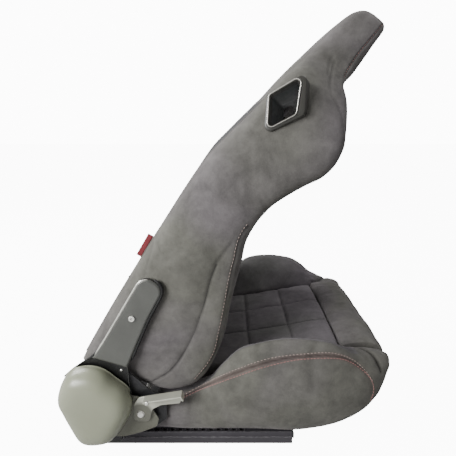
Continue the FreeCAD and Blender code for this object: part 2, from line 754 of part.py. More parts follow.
def make_pawls():
    """Locking pawls, held clear on the sector's smooth rim while the back is folded."""
    pivot_x, pivot_z = PAWL_PIVOT
    heading = math.radians(-40)
    tip = float(S.sector_radius) + 0.5
    for side, sign in SIDES:
        near = float(ARM_IN)
        far = float(ARM_IN + S.arm_sheet)
        root = bar_along_y(10, sign * near, sign * far, pivot_x, pivot_z)
        corners = []
        for turn, reach in ((11, tip - 1), (-3, tip - 1), (-3, tip + 9), (11, tip + 9)):
            angle = heading + math.radians(turn)
            corners.append((reach * math.cos(angle), reach * math.sin(angle)))
        head = plate_along_y(corners, sign * near, sign * far)
        stem = plate_along_y([(pivot_x - 9, pivot_z - 2), corners[2], corners[3],
                              (pivot_x + 7, pivot_z + 6)], sign * near, sign * far)
        disc = bar_along_y(tip, sign * (near - 1), sign * (far + 1))
        hole = bar_along_y(4 + float(S.pin_clearance), sign * near, sign * far,
                           pivot_x, pivot_z)
        pawl = root.fuse([head, stem]).cut(disc).cut(hole).removeSplitter()
        solid_part("locking_pawl_" + side, pawl, PIVOT)
        pin = bar_along_y(4, sign * (BASE_IN + S.plate_sheet), sign * BRACKET_IN,
                          pivot_x, pivot_z)
        solid_part("pawl_pin_" + side, pin, PIVOT)


def make_release_bar():
    half = float(S.bar_half_width)
    rear = float(S.bar_pivot_x) - 12
    front = float(S.bar_front_x)
    height = float(BAR_HEIGHT)
    radius = float(S.bar_radius)
    points = [V(rear, -half, height), V(front, -half, height), V(front, half, height),
              V(rear, half, height)]
    bar = bent_tube(points, float(S.bar_bend), radius)
    pivot = float(S.bar_pivot_x)
    pin_radius = 3
    hole = bar_along_y(pin_radius + float(S.pin_clearance), -half - 10, half + 10, pivot, height)
    solid_part("release_bar", bar.cut(hole))
    blades = []
    pins = []
    lugs = []
    rail_face = float(S.rail_spacing / 2 - S.rail_width / 2)
    notch_y = float(S.rail_spacing / 2 - S.rail_slot / 2) - 5
    foot = float(S.rail_side_height) + 2.5
    top = float(RAIL_TOP + S.plate_sheet + S.frame_tube_height)
    for side, sign in SIDES:
        low, high = sorted((sign * (half + radius), sign * (notch_y + 1.5)))
        blade = Part.makeBox(38, high - low, 2.5, V(pivot + 28, low, foot))
        low, high = sorted((sign * (notch_y - 1.5), sign * (notch_y + 1.5)))
        for step in range(3):
            centre = (step + 4.5) * float(S.notch_pitch) - float(S.notch_pitch)
            tooth = Part.makeBox(6, high - low, 2, V(centre - 3, low, foot - 2))
            blade = blade.fuse(tooth)
        blades.append(blade.removeSplitter())
        pins.append(bar_along_y(pin_radius, sign * (half - 6), sign * (half + 9), pivot, height))
        low, high = sorted((sign * (half + 6.5), sign * (half + 9)))
        lug = Part.makeBox(24, high - low, top - height + 9, V(pivot - 12, low, height - 9))
        lugs.append(lug.cut(bar_along_y(pin_radius, low, high, pivot, height)))
    if half + 9 > rail_face:
        raise RuntimeError("the bar's lugs meet the rails")
    solid_part("latch_blades", Part.makeCompound(blades))
    solid_part("bar_pivot_pins", Part.makeCompound(pins))
    solid_part("bar_lugs", Part.makeCompound(lugs))


# Side view of the backrest, upright: height above the pivot, rear face, front edge of
# the wings, half width and front face of the centre.
BACK_STATIONS = [
    (28, -55, -12, 216, -30), (42, -55, 38, 221, 15), (55, -55, 72, 226, 48), (68, -55, 108, 233, 50), (108, -55, 139, 240, 52),
    (140, -55, 144, 240, 53), (215, -55, 131, 240, 54), (300, -54, 101, 240, 48),
    (390, -53, 75, 234, 38), (440, -50, 79, 231, 33), (500, -40, 105, 234, 30),
    (565, -23, 131, 240, 33), (604, -13, 123, 240, 40), (636, -5, 99, 233, 56),
    (668, 3, 76, 190, 76),
]
HEAD_STATIONS = [
    (604.6, -13, 40, 169), (630, -6, 52, 168), (655, -1, 67, 163), (680, 6, 88, 147),
    (705, 12, 97, 138), (740, 23, 101, 134), (775, 37, 104, 130), (797, 49, 98, 123),
    (811, 62, 88, 108), (817, 72, 80, 90),
]
SLOT_CORNERS = [(-3, 592), (18, 558), (43, 593), (23, 633)]
COLLAR_CORNERS = [(-8, 591), (18, 547), (55, 592), (26, 650)]


def back_scale():
    """Stretch of the upright outlines when the backrest's height is changed."""
    return float(S.back_height) / HEAD_STATIONS[-1][0]


def wing_section(station, sign):
    """A level cut through one wing: rounded rear corner, flat flank and padded front."""
    rise, rear, front, half, centre = station
    rise *= back_scale()
    half += float(S.back_half_width) - 240
    inner = float(S.centre_half_width)
    depth = front - rear
    width = half - inner
    corner = min(38, width * 0.6, depth * 0.3)
    tip = min(22, width * 0.3, (front - centre) * 0.6 + 4)
    points = [(rear, inner), (rear, half - corner), (rear + corner, half), (front - tip, half),
              (front, half - tip), (front - tip, half - 2 * tip), (centre, inner)]
    bow = 0.7071
    corner_middle = (rear + corner * (1 - bow), half - corner * (1 - bow))
    tip_out = (front - tip * (1 - bow), half - tip * (1 - bow))
    tip_in = (front - tip * (1 - bow), half - tip * (1 + bow))

    def spot(point):
        return V(point[0], sign * point[1], rise)

    a, b, c, d, e, f, g = map(spot, points)
    return loop_through([[a], chords(b, spot(corner_middle), c),
                         chords(d, spot(tip_out), e, 2), chords(e, spot(tip_in), f, 2), [g]])


def slot_prism(sign, corners, rounding, grow, near, far):
    """A bar along the harness slot, which leans forwards on its way into the seat."""
    lift = (back_scale() - 1) * 594
    lean = 0.55
    wires = []
    for distance in (near, far):
        shift = (float(S.back_half_width) - distance) * lean
        points = []
        for u, w in corners:
            away = math.hypot(u - 20, w - 594)
            stretch = 1 + grow * 1.35 / away
            points.append(V(20 + (u - 20) * stretch + shift, sign * distance,
                            594 + (w - 594) * stretch + lift))
        wires.append(rounded_loop(points, rounding))
    return skin(wires)


def arm_boss(sign, radius, back, rise, near, far):
    return bar_along_y(radius, sign * near, sign * far, -back, rise)


def boss_places():
    return ((float(S.arm_screw_back), float(S.arm_screw_rise)), (22.0, 98.0))


def make_wings():
    for side, sign in SIDES:
        wires = [wing_section(station, sign) for station in BACK_STATIONS]
        wing = skin(wires)
        gap = float(S.soft_gap)
        half = float(S.back_half_width)
        wing = wing.cut(slot_prism(sign, SLOT_CORNERS, 8, float(S.slot_wall) + gap, 120, 300))
        wing = wing.cut(slot_prism(sign, COLLAR_CORNERS, 12, gap, half - 10 - gap, half + 40))
        for back, rise in boss_places():
            wing = wing.cut(arm_boss(sign, float(S.boss_radius) + gap, back, rise, 100, 300))
        solid_part("back_wing_" + side, wing.Solids[0], PIVOT, S.rest_tilt)


def make_slot_bezels():
    """Moulded collars that line the harness slots and stand proud at their front."""
    wall = float(S.slot_wall)
    half = float(S.back_half_width)
    for side, sign in SIDES:
        sleeve = slot_prism(sign, SLOT_CORNERS, 8, wall, half - 52, half)
        collar = slot_prism(sign, COLLAR_CORNERS, 12, 0, half - 10, half + 24)
        hole = slot_prism(sign, SLOT_CORNERS, 6, 0, half - 90, half + 60)
        beyond = Part.makeBox(240, 60, 240, V(-120, 0 if sign > 0 else -60, -120))
        beyond.rotate(V(0, 0, 0), V(0, 0, 1), sign * float(S.collar_lean))
        beyond.translate(V(20, sign * (half + float(S.collar_rise)), 594 * back_scale()))
        bezel = sleeve.fuse(collar).cut(beyond)
        rim = [edge for edge in bezel.Edges if on_rim(edge, sign)]
        bezel = bezel.makeChamfer(1.6, rim).cut(hole)
        solid_part("slot_bezel_" + side, bezel.Solids[0], PIVOT, S.rest_tilt)


def on_rim(edge, sign):
    """True for an edge in the collar's leaning outer face."""
    lean = math.tan(math.radians(float(S.collar_lean)))
    base = float(S.back_half_width) + float(S.collar_rise)
    return all(abs(sign * vertex.Y - base - (vertex.X - 20) * lean) < 0.01
               for vertex in edge.Vertexes)


def make_back_frame():
    """Box-section hoop inside the backrest, with a boss at each screw of the arms."""
    half = S.back_hoop_half_width
    depth = S.back_hoop_depth
    face = S.back_hoop_face
    rise = 450 * S.back_height / 817
    back = S.arm_screw_back + 3
    frame = new_body("back_frame", PIVOT, S.rest_tilt)
    hoop = new_sketch(frame, "YZ_Plane", -back)
    draw_loop(hoop, [(-half, 60), (-half, rise - 40), (40 - half, rise), (half - 40, rise),
                     (half, rise - 40), (half, 60), (half - face, 60), (half - face, rise - 48),
                     (half - 48, rise - face), (48 - half, rise - face),
                     (face - half, rise - 48), (face - half, 60)])
    pad(frame, hoop, depth, midplane=True)
    cross = new_sketch(frame, "YZ_Plane", -back)
    draw_loop(cross, rectangle(-half + 1, 100, half - 1, 100 + face))
    pad(frame, cross, depth - 2, midplane=True)
    for side, sign in SIDES:
        bosses = new_sketch(frame, "XZ_Plane", sign * (1 - half))
        for boss_back, boss_rise in boss_places():
            draw_circle(bosses, -boss_back, boss_rise, S.boss_radius)
        pad(frame, bosses, ARM_IN - half + 1, reverse=sign > 0)


def crowned_wire(rear, front, half, rise, crown):
    """A level cut through a pad: flat back, drawn-in sides and a crowned front."""
    low = front - crown
    a, b = V(rear, -half, rise), V(low, -half, rise)
    c, d = V(low, half, rise), V(rear, half, rise)
    bow = Part.Arc(b, V(front, 0, rise), c)
    edges = [Part.LineSegment(a, b), bow, Part.LineSegment(c, d), Part.LineSegment(d, a)]
    return Part.Wire([edge.toShape() for edge in edges])


def make_back_pads():
    scale = back_scale()
    gap = float(S.soft_gap)
    half = float(S.centre_half_width) - gap
    rows = [(20, -9, 46), (60, -9, 48), (110, -9, 52), (170, -9, 54), (240, -9, 53),
            (310, -9, 47), (380, -9, 39), (440, -8, 33), (490, -5, 30), (540, -5, 30),
            (575, -3, 33), (604, 3, 40)]
    wires = [crowned_wire(rear, front, half, rise * scale, 5) for rise, rear, front in rows]
    pad_solid = skin(wires)
    depth = float(S.channel_depth)
    for step in range(1, 8):
        rise = 20 + step * 73
        front = blend(rows, rise, 2)
        pad_solid = pad_solid.cut(Part.makeCylinder(depth, 2 * half + 2,
                                                    V(front + 1, -half - 1, rise * scale),
                                                    V(0, 1, 0)))
    solid_part("back_centre_pad", pad_solid.Solids[0], PIVOT, S.rest_tilt)

    thick = float(S.panel_thickness)
    wires = []
    for rise, rear, front, wide, centre in BACK_STATIONS:
        if 60 < rise < 600:
            wires.append((rise, rear))
    wires = [(20, -55)] + wires + [(604, -13)]
    sections = [outline_wire([(rear, -half, rise * scale), (rear + thick, -half, rise * scale),
                              (rear + thick, half, rise * scale), (rear, half, rise * scale)])
                for rise, rear in wires]
    panel = skin(sections)
    solid_part("back_panel", panel, PIVOT, S.rest_tilt)

    wires = []
    for rise, rear, front, wide in HEAD_STATIONS:
        wires.append(head_wire(rear, front, wide - gap, rise * scale))
    solid_part("head_pad", skin(wires), PIVOT, S.rest_tilt)


def head_wire(rear, front, half, rise):
    """A level cut through the head: rounded corners and a gently crowned front."""
    corner = min(12, (front - rear) * 0.3)
    crown = 3
    bow = 0.7071
    low = front - crown
    runs = []
    for sign in (-1, 1):
        rear_corner = chords(V(rear, sign * (half - corner), rise),
                             V(rear + corner * (1 - bow), sign * (half - corner * (1 - bow)), rise),
                             V(rear + corner, sign * half, rise), 2)
        front_corner = chords(V(low - corner, sign * half, rise),
                              V(low - corner * (1 - bow), sign * (half - corner * (1 - bow)), rise),
                              V(low, sign * (half - corner), rise), 2)
        runs.append(rear_corner + front_corner)
    right, left = runs
    front_bow = chords(right[-1], V(front, 0, rise), left[-1], 2)
    return loop_through([right, front_bow, left[::-1]])


def make_tag():
    """Plain folded label in the rear seam of the right wing."""
    rear = -55
    low = 250 * back_scale()
    shape = plate_along_y([(rear - 14, low + 2), (rear - 0.4, low), (rear - 0.4, low + 46),
                           (rear - 14, low + 48)], -198, -200)
    solid_part("rear_tag", shape, PIVOT, S.rest_tilt)


# Side view of the cushion bolsters: place along the seat, underside, height of the
# widest point, ridge, half width, distance of the ridge and height at the insert.
BOLSTER_STATIONS = [
    (-78, 50, 92, 118, 238, 215, 110), (-15, 45, 96, 127, 243, 218, 118),
    (20, 45, 105, 150, 248, 223, 131), (45, 45, 116, 183, 253, 226, 149),
    (75, 45, 124, 213, 257, 229, 163), (120, 45, 133, 235, 262, 232, 174),
    (175, 46, 138, 241, 262, 232, 181), (230, 59, 139, 230, 259, 229, 186),
    (285, 84, 143, 209, 249, 220, 190), (320, 116, 151, 198, 232, 205, 188),
    (344, 164, 172, 184, 204, 188, 178),
]
INSERT_STATIONS = [
    (-62, 150, 138), (-20, 152, 142), (30, 157, 150), (90, 165, 158), (150, 175, 168),
    (210, 186, 178), (262, 194, 187), (288, 196, 190),
]


def bolster_wire(station, sign):
    """A cut across one cushion bolster, from the pan over the ridge to the insert."""
    along, low, widest, ridge, half, crest, inner_top = station
    half += float(S.cushion_half_width) - 262
    along *= float(S.cushion_front) / 347
    inner = float(S.insert_half_width) + float(S.soft_gap)
    seat = float(RAIL_TOP + S.plate_sheet + S.frame_tube_height + S.pan_sheet) + 0.3
    seat = max(seat, low)
    clear = float(S.rail_spacing / 2 + S.frame_tube_width / 2) + 3
    foot = min(half - 12, clear + 22)

    def spot(across, up):
        return V(along, sign * across, up)

    a, b = spot(inner, seat), spot(min(clear, foot - 4), seat)
    c, d = spot(foot, low), spot(half, widest)
    rise = ridge - widest
    e = spot(crest + (half - crest) * 0.72, widest + rise * 0.7)
    f, g = spot(crest, ridge), spot(inner, inner_top)
    flank_low = spot(half - (half - foot) * 0.2, low + (widest - low) * 0.42)
    flank_high = spot(half - (half - crest) * 0.06, widest + rise * 0.38)
    shoulder = spot(crest + (half - crest) * 0.42, ridge - rise * 0.08)
    slope = spot(inner + (crest - inner) * 0.5, inner_top + (ridge - inner_top) * 0.62)
    return loop_through([[a, b], chords(c, flank_low, d, 2), chords(d, flank_high, e, 2),
                         chords(e, shoulder, f, 2), chords(f, slope, g, 2)])


def make_cushion():
    for side, sign in SIDES:
        wires = [bolster_wire(station, sign) for station in BOLSTER_STATIONS]
        bolster = skin(wires)
        solid_part("cushion_bolster_" + side, bolster)

    stretch = float(S.cushion_front) / 347
    half = float(S.insert_half_width)
    seat = float(RAIL_TOP + S.plate_sheet + S.frame_tube_height + S.pan_sheet) + 0.3
    crown = 5

    def level_cut(along, top, low):
        a, b = V(along, -half, low), V(along, -half, top - crown)
        c, d = V(along, half, top - crown), V(along, half, low)
        bow = Part.Arc(b, V(along, 0, top), c)
        edges = [Part.LineSegment(a, b), bow, Part.LineSegment(c, d), Part.LineSegment(d, a)]
        return Part.Wire([edge.toShape() for edge in edges])

    wires = [level_cut(along * stretch, top, seat) for along, top, _ in INSERT_STATIONS]
    insert = skin(wires)
    heel = plate_along_y([(-62, 118), (-61.9, 148), (-100, 146), (-104, 138), (-84, 122)],
                         -half, half)
    insert = insert.fuse(heel)
    depth = float(S.channel_depth)
    for step in range(1, 5):
        along = -62 + step * 70
        top = blend(INSERT_STATIONS, along, 1)
        insert = insert.cut(Part.makeCylinder(depth, 2 * half + 2,
                                              V(along * stretch, -half - 1, top + 1),
                                              V(0, 1, 0)))
    solid_part("seat_insert", insert.removeSplitter().Solids[0])

    front = float(S.cushion_front)
    rows = [(288.3, seat, 196), (300, 84, 198), (318, 104, 197), (334, 134, 192),
            (344, 160, 184), (347, 172, 178)]
    wires = []
    for along, low, top in rows:
        wires.append(level_cut(along * front / 347, top, low))
    solid_part("cushion_front_roll", skin(wires))


def check_and_write():
    doc.recompute()
    for thing in doc.Objects:
        bad = [word for word in thing.State if word in ("Invalid", "Error")]
        if bad:
            raise RuntimeError("%s is %s" % (thing.Label, bad))
    os.makedirs("parts", exist_ok=True)
    nodes = [thing for thing in doc.Objects
             if thing.TypeId in ("PartDesign::Body", "Part::Feature")
             and not thing.getParentGeoFeatureGroup()]
    for node in nodes:
        shape = node.Shape
        if shape.isNull() or not shape.isValid() or not shape.Solids:
            raise RuntimeError("bad shape in " + node.Label)
        shape.exportStep("parts/%s.step" % node.Label)
    print(len(nodes), "nodes written")


make_rails()
make_roller_cages()
make_cushion_frame()
make_base_plates()
make_arms()
make_recliner_pins()
make_brackets()
make_covers()
make_recline_springs()
make_lever()
make_pawls()
make_release_bar()
make_wings()
make_slot_bezels()
make_back_frame()
make_back_pads()
make_tag()
make_cushion()
check_and_write()
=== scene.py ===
import json
import math

import bmesh
import bpy
import numpy as np
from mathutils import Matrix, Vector
from mathutils.bvhtree import BVHTree
from mathutils.noise import fractal


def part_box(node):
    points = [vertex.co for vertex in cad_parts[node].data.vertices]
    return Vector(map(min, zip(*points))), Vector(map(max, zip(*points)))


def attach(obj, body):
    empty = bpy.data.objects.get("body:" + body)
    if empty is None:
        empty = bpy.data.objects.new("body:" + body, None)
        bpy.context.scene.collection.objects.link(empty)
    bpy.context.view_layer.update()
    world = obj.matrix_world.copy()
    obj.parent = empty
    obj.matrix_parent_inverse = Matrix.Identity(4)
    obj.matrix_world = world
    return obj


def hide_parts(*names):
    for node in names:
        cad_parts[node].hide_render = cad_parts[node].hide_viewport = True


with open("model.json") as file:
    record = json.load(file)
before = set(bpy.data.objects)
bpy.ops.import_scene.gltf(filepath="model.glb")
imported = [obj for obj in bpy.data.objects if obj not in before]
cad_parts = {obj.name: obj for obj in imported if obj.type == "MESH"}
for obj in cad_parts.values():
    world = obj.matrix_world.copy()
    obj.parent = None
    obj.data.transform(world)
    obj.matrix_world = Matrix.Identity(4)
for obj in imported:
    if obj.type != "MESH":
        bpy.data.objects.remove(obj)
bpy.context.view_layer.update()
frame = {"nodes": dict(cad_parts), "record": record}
nodes = frame["nodes"]

# Reclining sport seat with its backrest folded forward. Metres, X forward, Z up.
# The backrest is drawn in its own upright frame, in millimetres from the recline
# hinge: u forward, y across, w up.

HINGE = (-177.0, 133.0)
LEAN = math.radians(31)
SIDES = (("right", -1), ("left", 1))

# Camera: place in metres, downward pitch and focal length in pixels.
EYE = (0.055, -0.937, 0.607)
PITCH = math.radians(13.5)
FOCAL_PIXELS = 440
FRAME_PIXELS = 456

# Shapes.

def from_back(points):
    """Points of the upright backrest frame, in metres where they stand."""
    p = np.asarray(points, float)
    u, y, w = p[..., 0], p[..., 1], p[..., 2]
    x = HINGE[0] + u * math.cos(LEAN) + w * math.sin(LEAN)
    z = HINGE[1] + w * math.cos(LEAN) - u * math.sin(LEAN)
    return np.stack([x, y, z], -1) / 1000


def smooth_steps(at, knots, values):
    """Cubic curve through the knots with no overshoot."""
    knots, values = np.asarray(knots, float), np.asarray(values, float)
    run = np.diff(knots)
    rise = np.diff(values) / run
    slope = np.zeros(len(knots))
    for i in range(1, len(knots) - 1):
        if rise[i - 1] * rise[i] > 0:
            slope[i] = 2 * rise[i - 1] * rise[i] / (rise[i - 1] + rise[i])
    slope[0], slope[-1] = rise[0], rise[-1]
    at = np.clip(np.asarray(at, float), knots[0], knots[-1])
    i = np.clip(np.searchsorted(knots, at) - 1, 0, len(run) - 1)
    t = (at - knots[i]) / run[i]
    return (values[i] * (1 + 2 * t) * (1 - t) ** 2 + values[i + 1] * t * t * (3 - 2 * t)
            + run[i] * (slope[i] * t * (1 - t) ** 2 + slope[i + 1] * t * t * (t - 1)))


def from_table(table, at, column=1):
    """One column of a table, read smoothly at a place between its rows."""
    return float(smooth_steps(at, [row[0] for row in table], [row[column] for row in table]))


def run_length(points):
    """Distance along a polyline at each of its points."""
    return np.r_[0, np.cumsum(np.linalg.norm(np.diff(points, axis=0), axis=1))]


def even_run(points, count):
    """A smooth curve through points, resampled to a count of even steps."""
    points = np.asarray(points, float)
    along = run_length(points)
    at = np.linspace(0, along[-1], count)
    return np.stack([smooth_steps(at, along, column) for column in points.T], -1)


def dense(points, step):
    """A smooth curve through points, resampled at an even step."""
    points = np.asarray(points, float)
    return even_run(points, max(4, int(run_length(points)[-1] / step) + 1))


def unit(rows):
    """Rows of directions, each made one long."""
    return rows / np.maximum(np.linalg.norm(rows, axis=1), 1e-9)[:, None]


def full_turn(count):
    """Angles at even steps, once round."""
    return np.linspace(0, 2 * math.pi, count + 1)[:-1]


def arc_run(start, corner, end, count):
    """Corner rounding from start to end, bulging towards the corner."""
    t = np.linspace(0, 1, count)[:, None]
    a, c, b = (np.asarray(p, float) for p in (start, corner, end))
    angle = t * math.pi / 2
    return a + (c - a) * np.sin(angle) + (b - c) * (1 - np.cos(angle))


def straight_run(start, end, count, crown=None):
    t = np.linspace(0, 1, count)[:, None]
    a, b = np.asarray(start, float), np.asarray(end, float)
    line = a + (b - a) * t
    if crown is not None:
        line = line + np.asarray(crown, float) * np.sin(math.pi * t)
    return line


def shown(name, data):
    """A new object in the scene."""
    made = bpy.data.objects.new(name, data)
    bpy.context.scene.collection.objects.link(made)
    return made


def object_from(name, verts, faces, material=None):
    mesh = bpy.data.meshes.new(name)
    mesh.from_pydata([tuple(v) for v in verts], [], faces)
    mesh.validate()
    if material:
        mesh.materials.append(material)
    return shown(name, mesh)


def loft(name, rows, material, caps=True):
    """Skin through closed loops with the same number of points, ends closed by fans."""
    rows = np.asarray(rows, float)
    count, around = rows.shape[:2]
    verts = rows.reshape(-1, 3).tolist()
    faces = []
    for r in range(count - 1):
        for k in range(around):
            nxt = (k + 1) % around
            faces.append((r * around + k, r * around + nxt,
                          (r + 1) * around + nxt, (r + 1) * around + k))
    if caps:
        for r, turn in ((0, 1), (count - 1, -1)):
            hub = len(verts)
            verts.append(rows[r].mean(0).tolist())
            for k in range(around):
                ring = (r * around + k, r * around + (k + 1) % around)
                faces.append((hub,) + ring[::-turn])
    made = object_from(name, verts, faces, material)
    face_out(made)
    return made


def face_out(obj):
    bm = bmesh.new()
    bm.from_mesh(obj.data)
    bmesh.ops.remove_doubles(bm, verts=bm.verts, dist=1e-6)
    bmesh.ops.recalc_face_normals(bm, faces=bm.faces)
    bm.to_mesh(obj.data)
    bm.free()
    smooth(obj)


def smooth(obj):
    for polygon in obj.data.polygons:
        polygon.use_smooth = True


def baked(obj):
    """Applies an object's modifiers to its own mesh."""
    deps = bpy.context.evaluated_depsgraph_get()
    result = bpy.data.meshes.new_from_object(obj.evaluated_get(deps),
                                             preserve_all_data_layers=True, depsgraph=deps)
    obj.modifiers.clear()
    obj.data = result
    return obj


def subdivide(obj):
    step = obj.modifiers.new("finer", "SUBSURF")
    step.levels = step.render_levels = 1
    return baked(obj)


def coords(obj, field="co"):
    """Every vertex's place, or its normal."""
    values = np.empty(len(obj.data.vertices) * 3, np.float32)
    obj.data.vertices.foreach_get(field, values)
    return values.reshape(-1, 3).astype(float)


def set_coords(obj, co):
    obj.data.vertices.foreach_set("co", np.asarray(co, np.float32).ravel())
    obj.data.update()


PADDING_FRAMES = 20
PADDING_STIFFNESS = 15.0
PADDING_MASS = 0.3


def puff(obj, pins, cap, pressure):
    """Inflates padding as cloth. Pins holds each vertex's share of being held down."""
    start = coords(obj)
    group = obj.vertex_groups.new(name="held")
    pins = np.round(pins, 1)
    for share in np.unique(pins):
        if share > 0:
            group.add(np.nonzero(pins == share)[0].tolist(), float(share), "REPLACE")
    cloth = obj.modifiers.new("padding", "CLOTH")
    s = cloth.settings
    s.quality = 5
    s.mass = PADDING_MASS
    s.tension_stiffness = s.compression_stiffness = PADDING_STIFFNESS
    s.shear_stiffness = PADDING_STIFFNESS / 3
    s.bending_stiffness = 0.4
    s.vertex_group_mass = "held"
    s.use_pressure = True
    s.uniform_pressure_force = pressure
    s.effector_weights.gravity = 0
    cloth.point_cache.frame_start = 1
    cloth.point_cache.frame_end = PADDING_FRAMES
    scene = bpy.context.scene
    for number in range(1, PADDING_FRAMES + 1):
        scene.frame_set(number)
    baked(obj)
    obj.vertex_groups.clear()
    moved = coords(obj) - start
    far = np.linalg.norm(moved, axis=1)
    moved *= (np.minimum(far, cap) / np.maximum(far, 1e-9))[:, None]
    set_coords(obj, start + moved)
    scene.frame_set(1)


# Seams and stitches.

def camera_ray(point):
    """The camera's line of sight through a point."""
    eye = np.array(EYE)
    way = np.asarray(point, float) - eye
    return Vector(eye), Vector(way / np.linalg.norm(way))


def tree_of(obj):
    bm = bmesh.new()
    bm.from_mesh(obj.data)
    bvh = BVHTree.FromBMesh(bm)
    bm.free()
    return bvh


def seen_on(bvh, points):
    """Drops points of the near side onto a piece along the line of sight."""
    found = []
    for point in points:
        start, way = camera_ray(point)
        place = bvh.ray_cast(start, way)[0]
        if place is None:
            place = bvh.find_nearest(Vector(point))[0]
        found.append(place)
    return np.array([tuple(p) for p in found])


def onto(bvh, points, lift=0.0):
    """Nearest surface points, raised by lift, and the normals there."""
    places, ways = [], []
    for point in points:
        place, normal = bvh.find_nearest(Vector(point))[:2]
        places.append(tuple(place + normal * lift))
        ways.append(tuple(normal))
    return np.array(places), np.array(ways)


def dropped(bvh, lines, lift=0.0):
    """Lines laid on a surface, raised by lift."""
    return [onto(bvh, line, lift)[0] for line in lines]


def beside(bvh, line, offset, lift):
    """A line on the surface, offset to one side of another."""
    places, ways = onto(bvh, line)
    side = unit(np.cross(np.gradient(places, axis=0), ways))
    side = unit(eased(side, 6))
    return onto(bvh, eased(places + side * offset, 2), lift)[0]


def eased(line, passes):
    """Evens out a line's small kinks; its ends stay."""
    line = np.array(line, float)
    for _ in range(passes):
        line[1:-1] = line[1:-1] * 0.5 + (line[:-2] + line[2:]) * 0.25
    return line


def distance_to(co, lines):
    """Distance from each point to the nearest of several polylines."""
    best = np.full(len(co), 1.0)
    for line in lines:
        line = np.asarray(line)
        near = np.all((co > line.min(0) - 0.04) & (co < line.max(0) + 0.04), axis=1)
        points = co[near]
        if not len(points):
            continue
        least = np.full(len(points), 1.0)
        for a, b in zip(line, line[1:]):
            run = b - a
            t = np.clip((points - a) @ run / max(run @ run, 1e-12), 0, 1)
            least = np.minimum(least, np.linalg.norm(points - a - t[:, None] * run, axis=1))
        best[near] = np.minimum(best[near], least)
    return best


def close_by(far, reach, power=2):
    """Share that is 1 on a line and fades out past its reach."""
    return np.exp(-(far / reach) ** power)


def keep_mask(obj, name, values):
    layer = obj.data.attributes.get(name) or obj.data.attributes.new(name, "FLOAT", "POINT")
    layer.data.foreach_set("value", np.asarray(values, np.float32))


def pinch(obj, lines, depth, reach, shade=1.0):
    """Draws the cover in along its seams and marks how near each point lies to one; that nearness
    darkens the suede there as painted shade.
    """
    co = coords(obj)
    far = distance_to(co, lines)
    drawn = close_by(far, reach) * depth
    set_coords(obj, co - coords(obj, "normal") * drawn[:, None])
    seam_shade_mark = close_by(far, reach * 0.8) * shade
    earlier = obj.data.attributes.get("seam")
    if earlier:
        kept = np.empty(len(co), np.float32)
        earlier.data.foreach_get("value", kept)
        seam_shade_mark = np.maximum(seam_shade_mark, kept)
    keep_mask(obj, "seam", seam_shade_mark)


def mirror_line(line):
    return np.asarray(line) * (1, -1, 1)


def polyline(lines):
    """Open lines as one mesh of edges."""
    verts, edges = [], []
    for line in lines:
        first = len(verts)
        verts += [tuple(p) for p in line]
        edges += [(first + k, first + k + 1) for k in range(len(line) - 1)]
    mesh = bpy.data.meshes.new("seam_path")
    mesh.from_pydata(verts, edges, [])
    return mesh


SOCKETS = {"Vector": "Vector", "Normal": "Vector", "Color": "Color", "Tint": "Color",
           "Band": "Color", "Geometry": "Geometry", "Material": "Material"}
MID_GREY = (0.1, 0.1, 0.1, 1)


def new_group(name, kind, inputs, outputs):
    """A node group with named sockets: its tree, what it is given and what it puts out."""
    tree = bpy.data.node_groups.new(name, kind)
    for way, labels in (("INPUT", inputs), ("OUTPUT", outputs)):
        for label in labels:
            socket = tree.interface.new_socket(
                label, in_out=way, socket_type="NodeSocket" + SOCKETS.get(label, "Float"))
            if way == "INPUT" and inputs[label] is not None:
                socket.default_value = inputs[label]
    return tree, tree.nodes.new("NodeGroupInput").outputs, tree.nodes.new("NodeGroupOutput").inputs


def feed(tree, socket, value):
    """Sets an input to a value, or links it to another node's output."""
    if isinstance(value, bpy.types.NodeSocket):
        tree.links.new(value, socket)
    else:
        socket.default_value = value


def add(tree, kind, sockets=None, **settings):
    """One node: settings are its properties, sockets its inputs as values or links."""
    node = tree.nodes.new(kind)
    for key, value in settings.items():
        setattr(node, key, value)
    for key, value in (sockets or {}).items():
        feed(tree, node.inputs[key], value)
    return node


def stitch_tree():
    """Short thread stitches at an even pitch along every line."""
    tree, given, result = new_group("stitches", "GeometryNodeTree", {
        "Geometry": None, "Pitch": 0.006, "Length": 0.004, "Thickness": 0.001,
        "Material": None}, ["Geometry"])
    curve = add(tree, "GeometryNodeMeshToCurve", {"Mesh": given["Geometry"]})
    even = add(tree, "GeometryNodeResampleCurve", {"Curve": curve.outputs[0],
                                                   "Length": given["Pitch"]}, mode="LENGTH")
    tangent = add(tree, "GeometryNodeInputTangent")
    turn = add(tree, "FunctionNodeAlignRotationToVector", {"Vector": tangent.outputs[0]}, axis="Z")
    bead = add(tree, "GeometryNodeMeshUVSphere", {"Segments": 6, "Rings": 4, "Radius": 0.5})
    across = given["Thickness"]
    size = add(tree, "ShaderNodeCombineXYZ", {"X": across, "Y": across, "Z": given["Length"]})
    laid = add(tree, "GeometryNodeInstanceOnPoints", {
        "Points": even.outputs[0], "Instance": bead.outputs["Mesh"],
        "Rotation": turn.outputs[0], "Scale": size.outputs[0]})
    real = add(tree, "GeometryNodeRealizeInstances", {"Geometry": laid.outputs[0]})
    shade = add(tree, "GeometryNodeSetShadeSmooth", {"Geometry": real.outputs[0]})
    done = add(tree, "GeometryNodeSetMaterial", {"Geometry": shade.outputs[0],
                                                 "Material": given["Material"]})
    tree.links.new(done.outputs[0], result[0])
    return tree


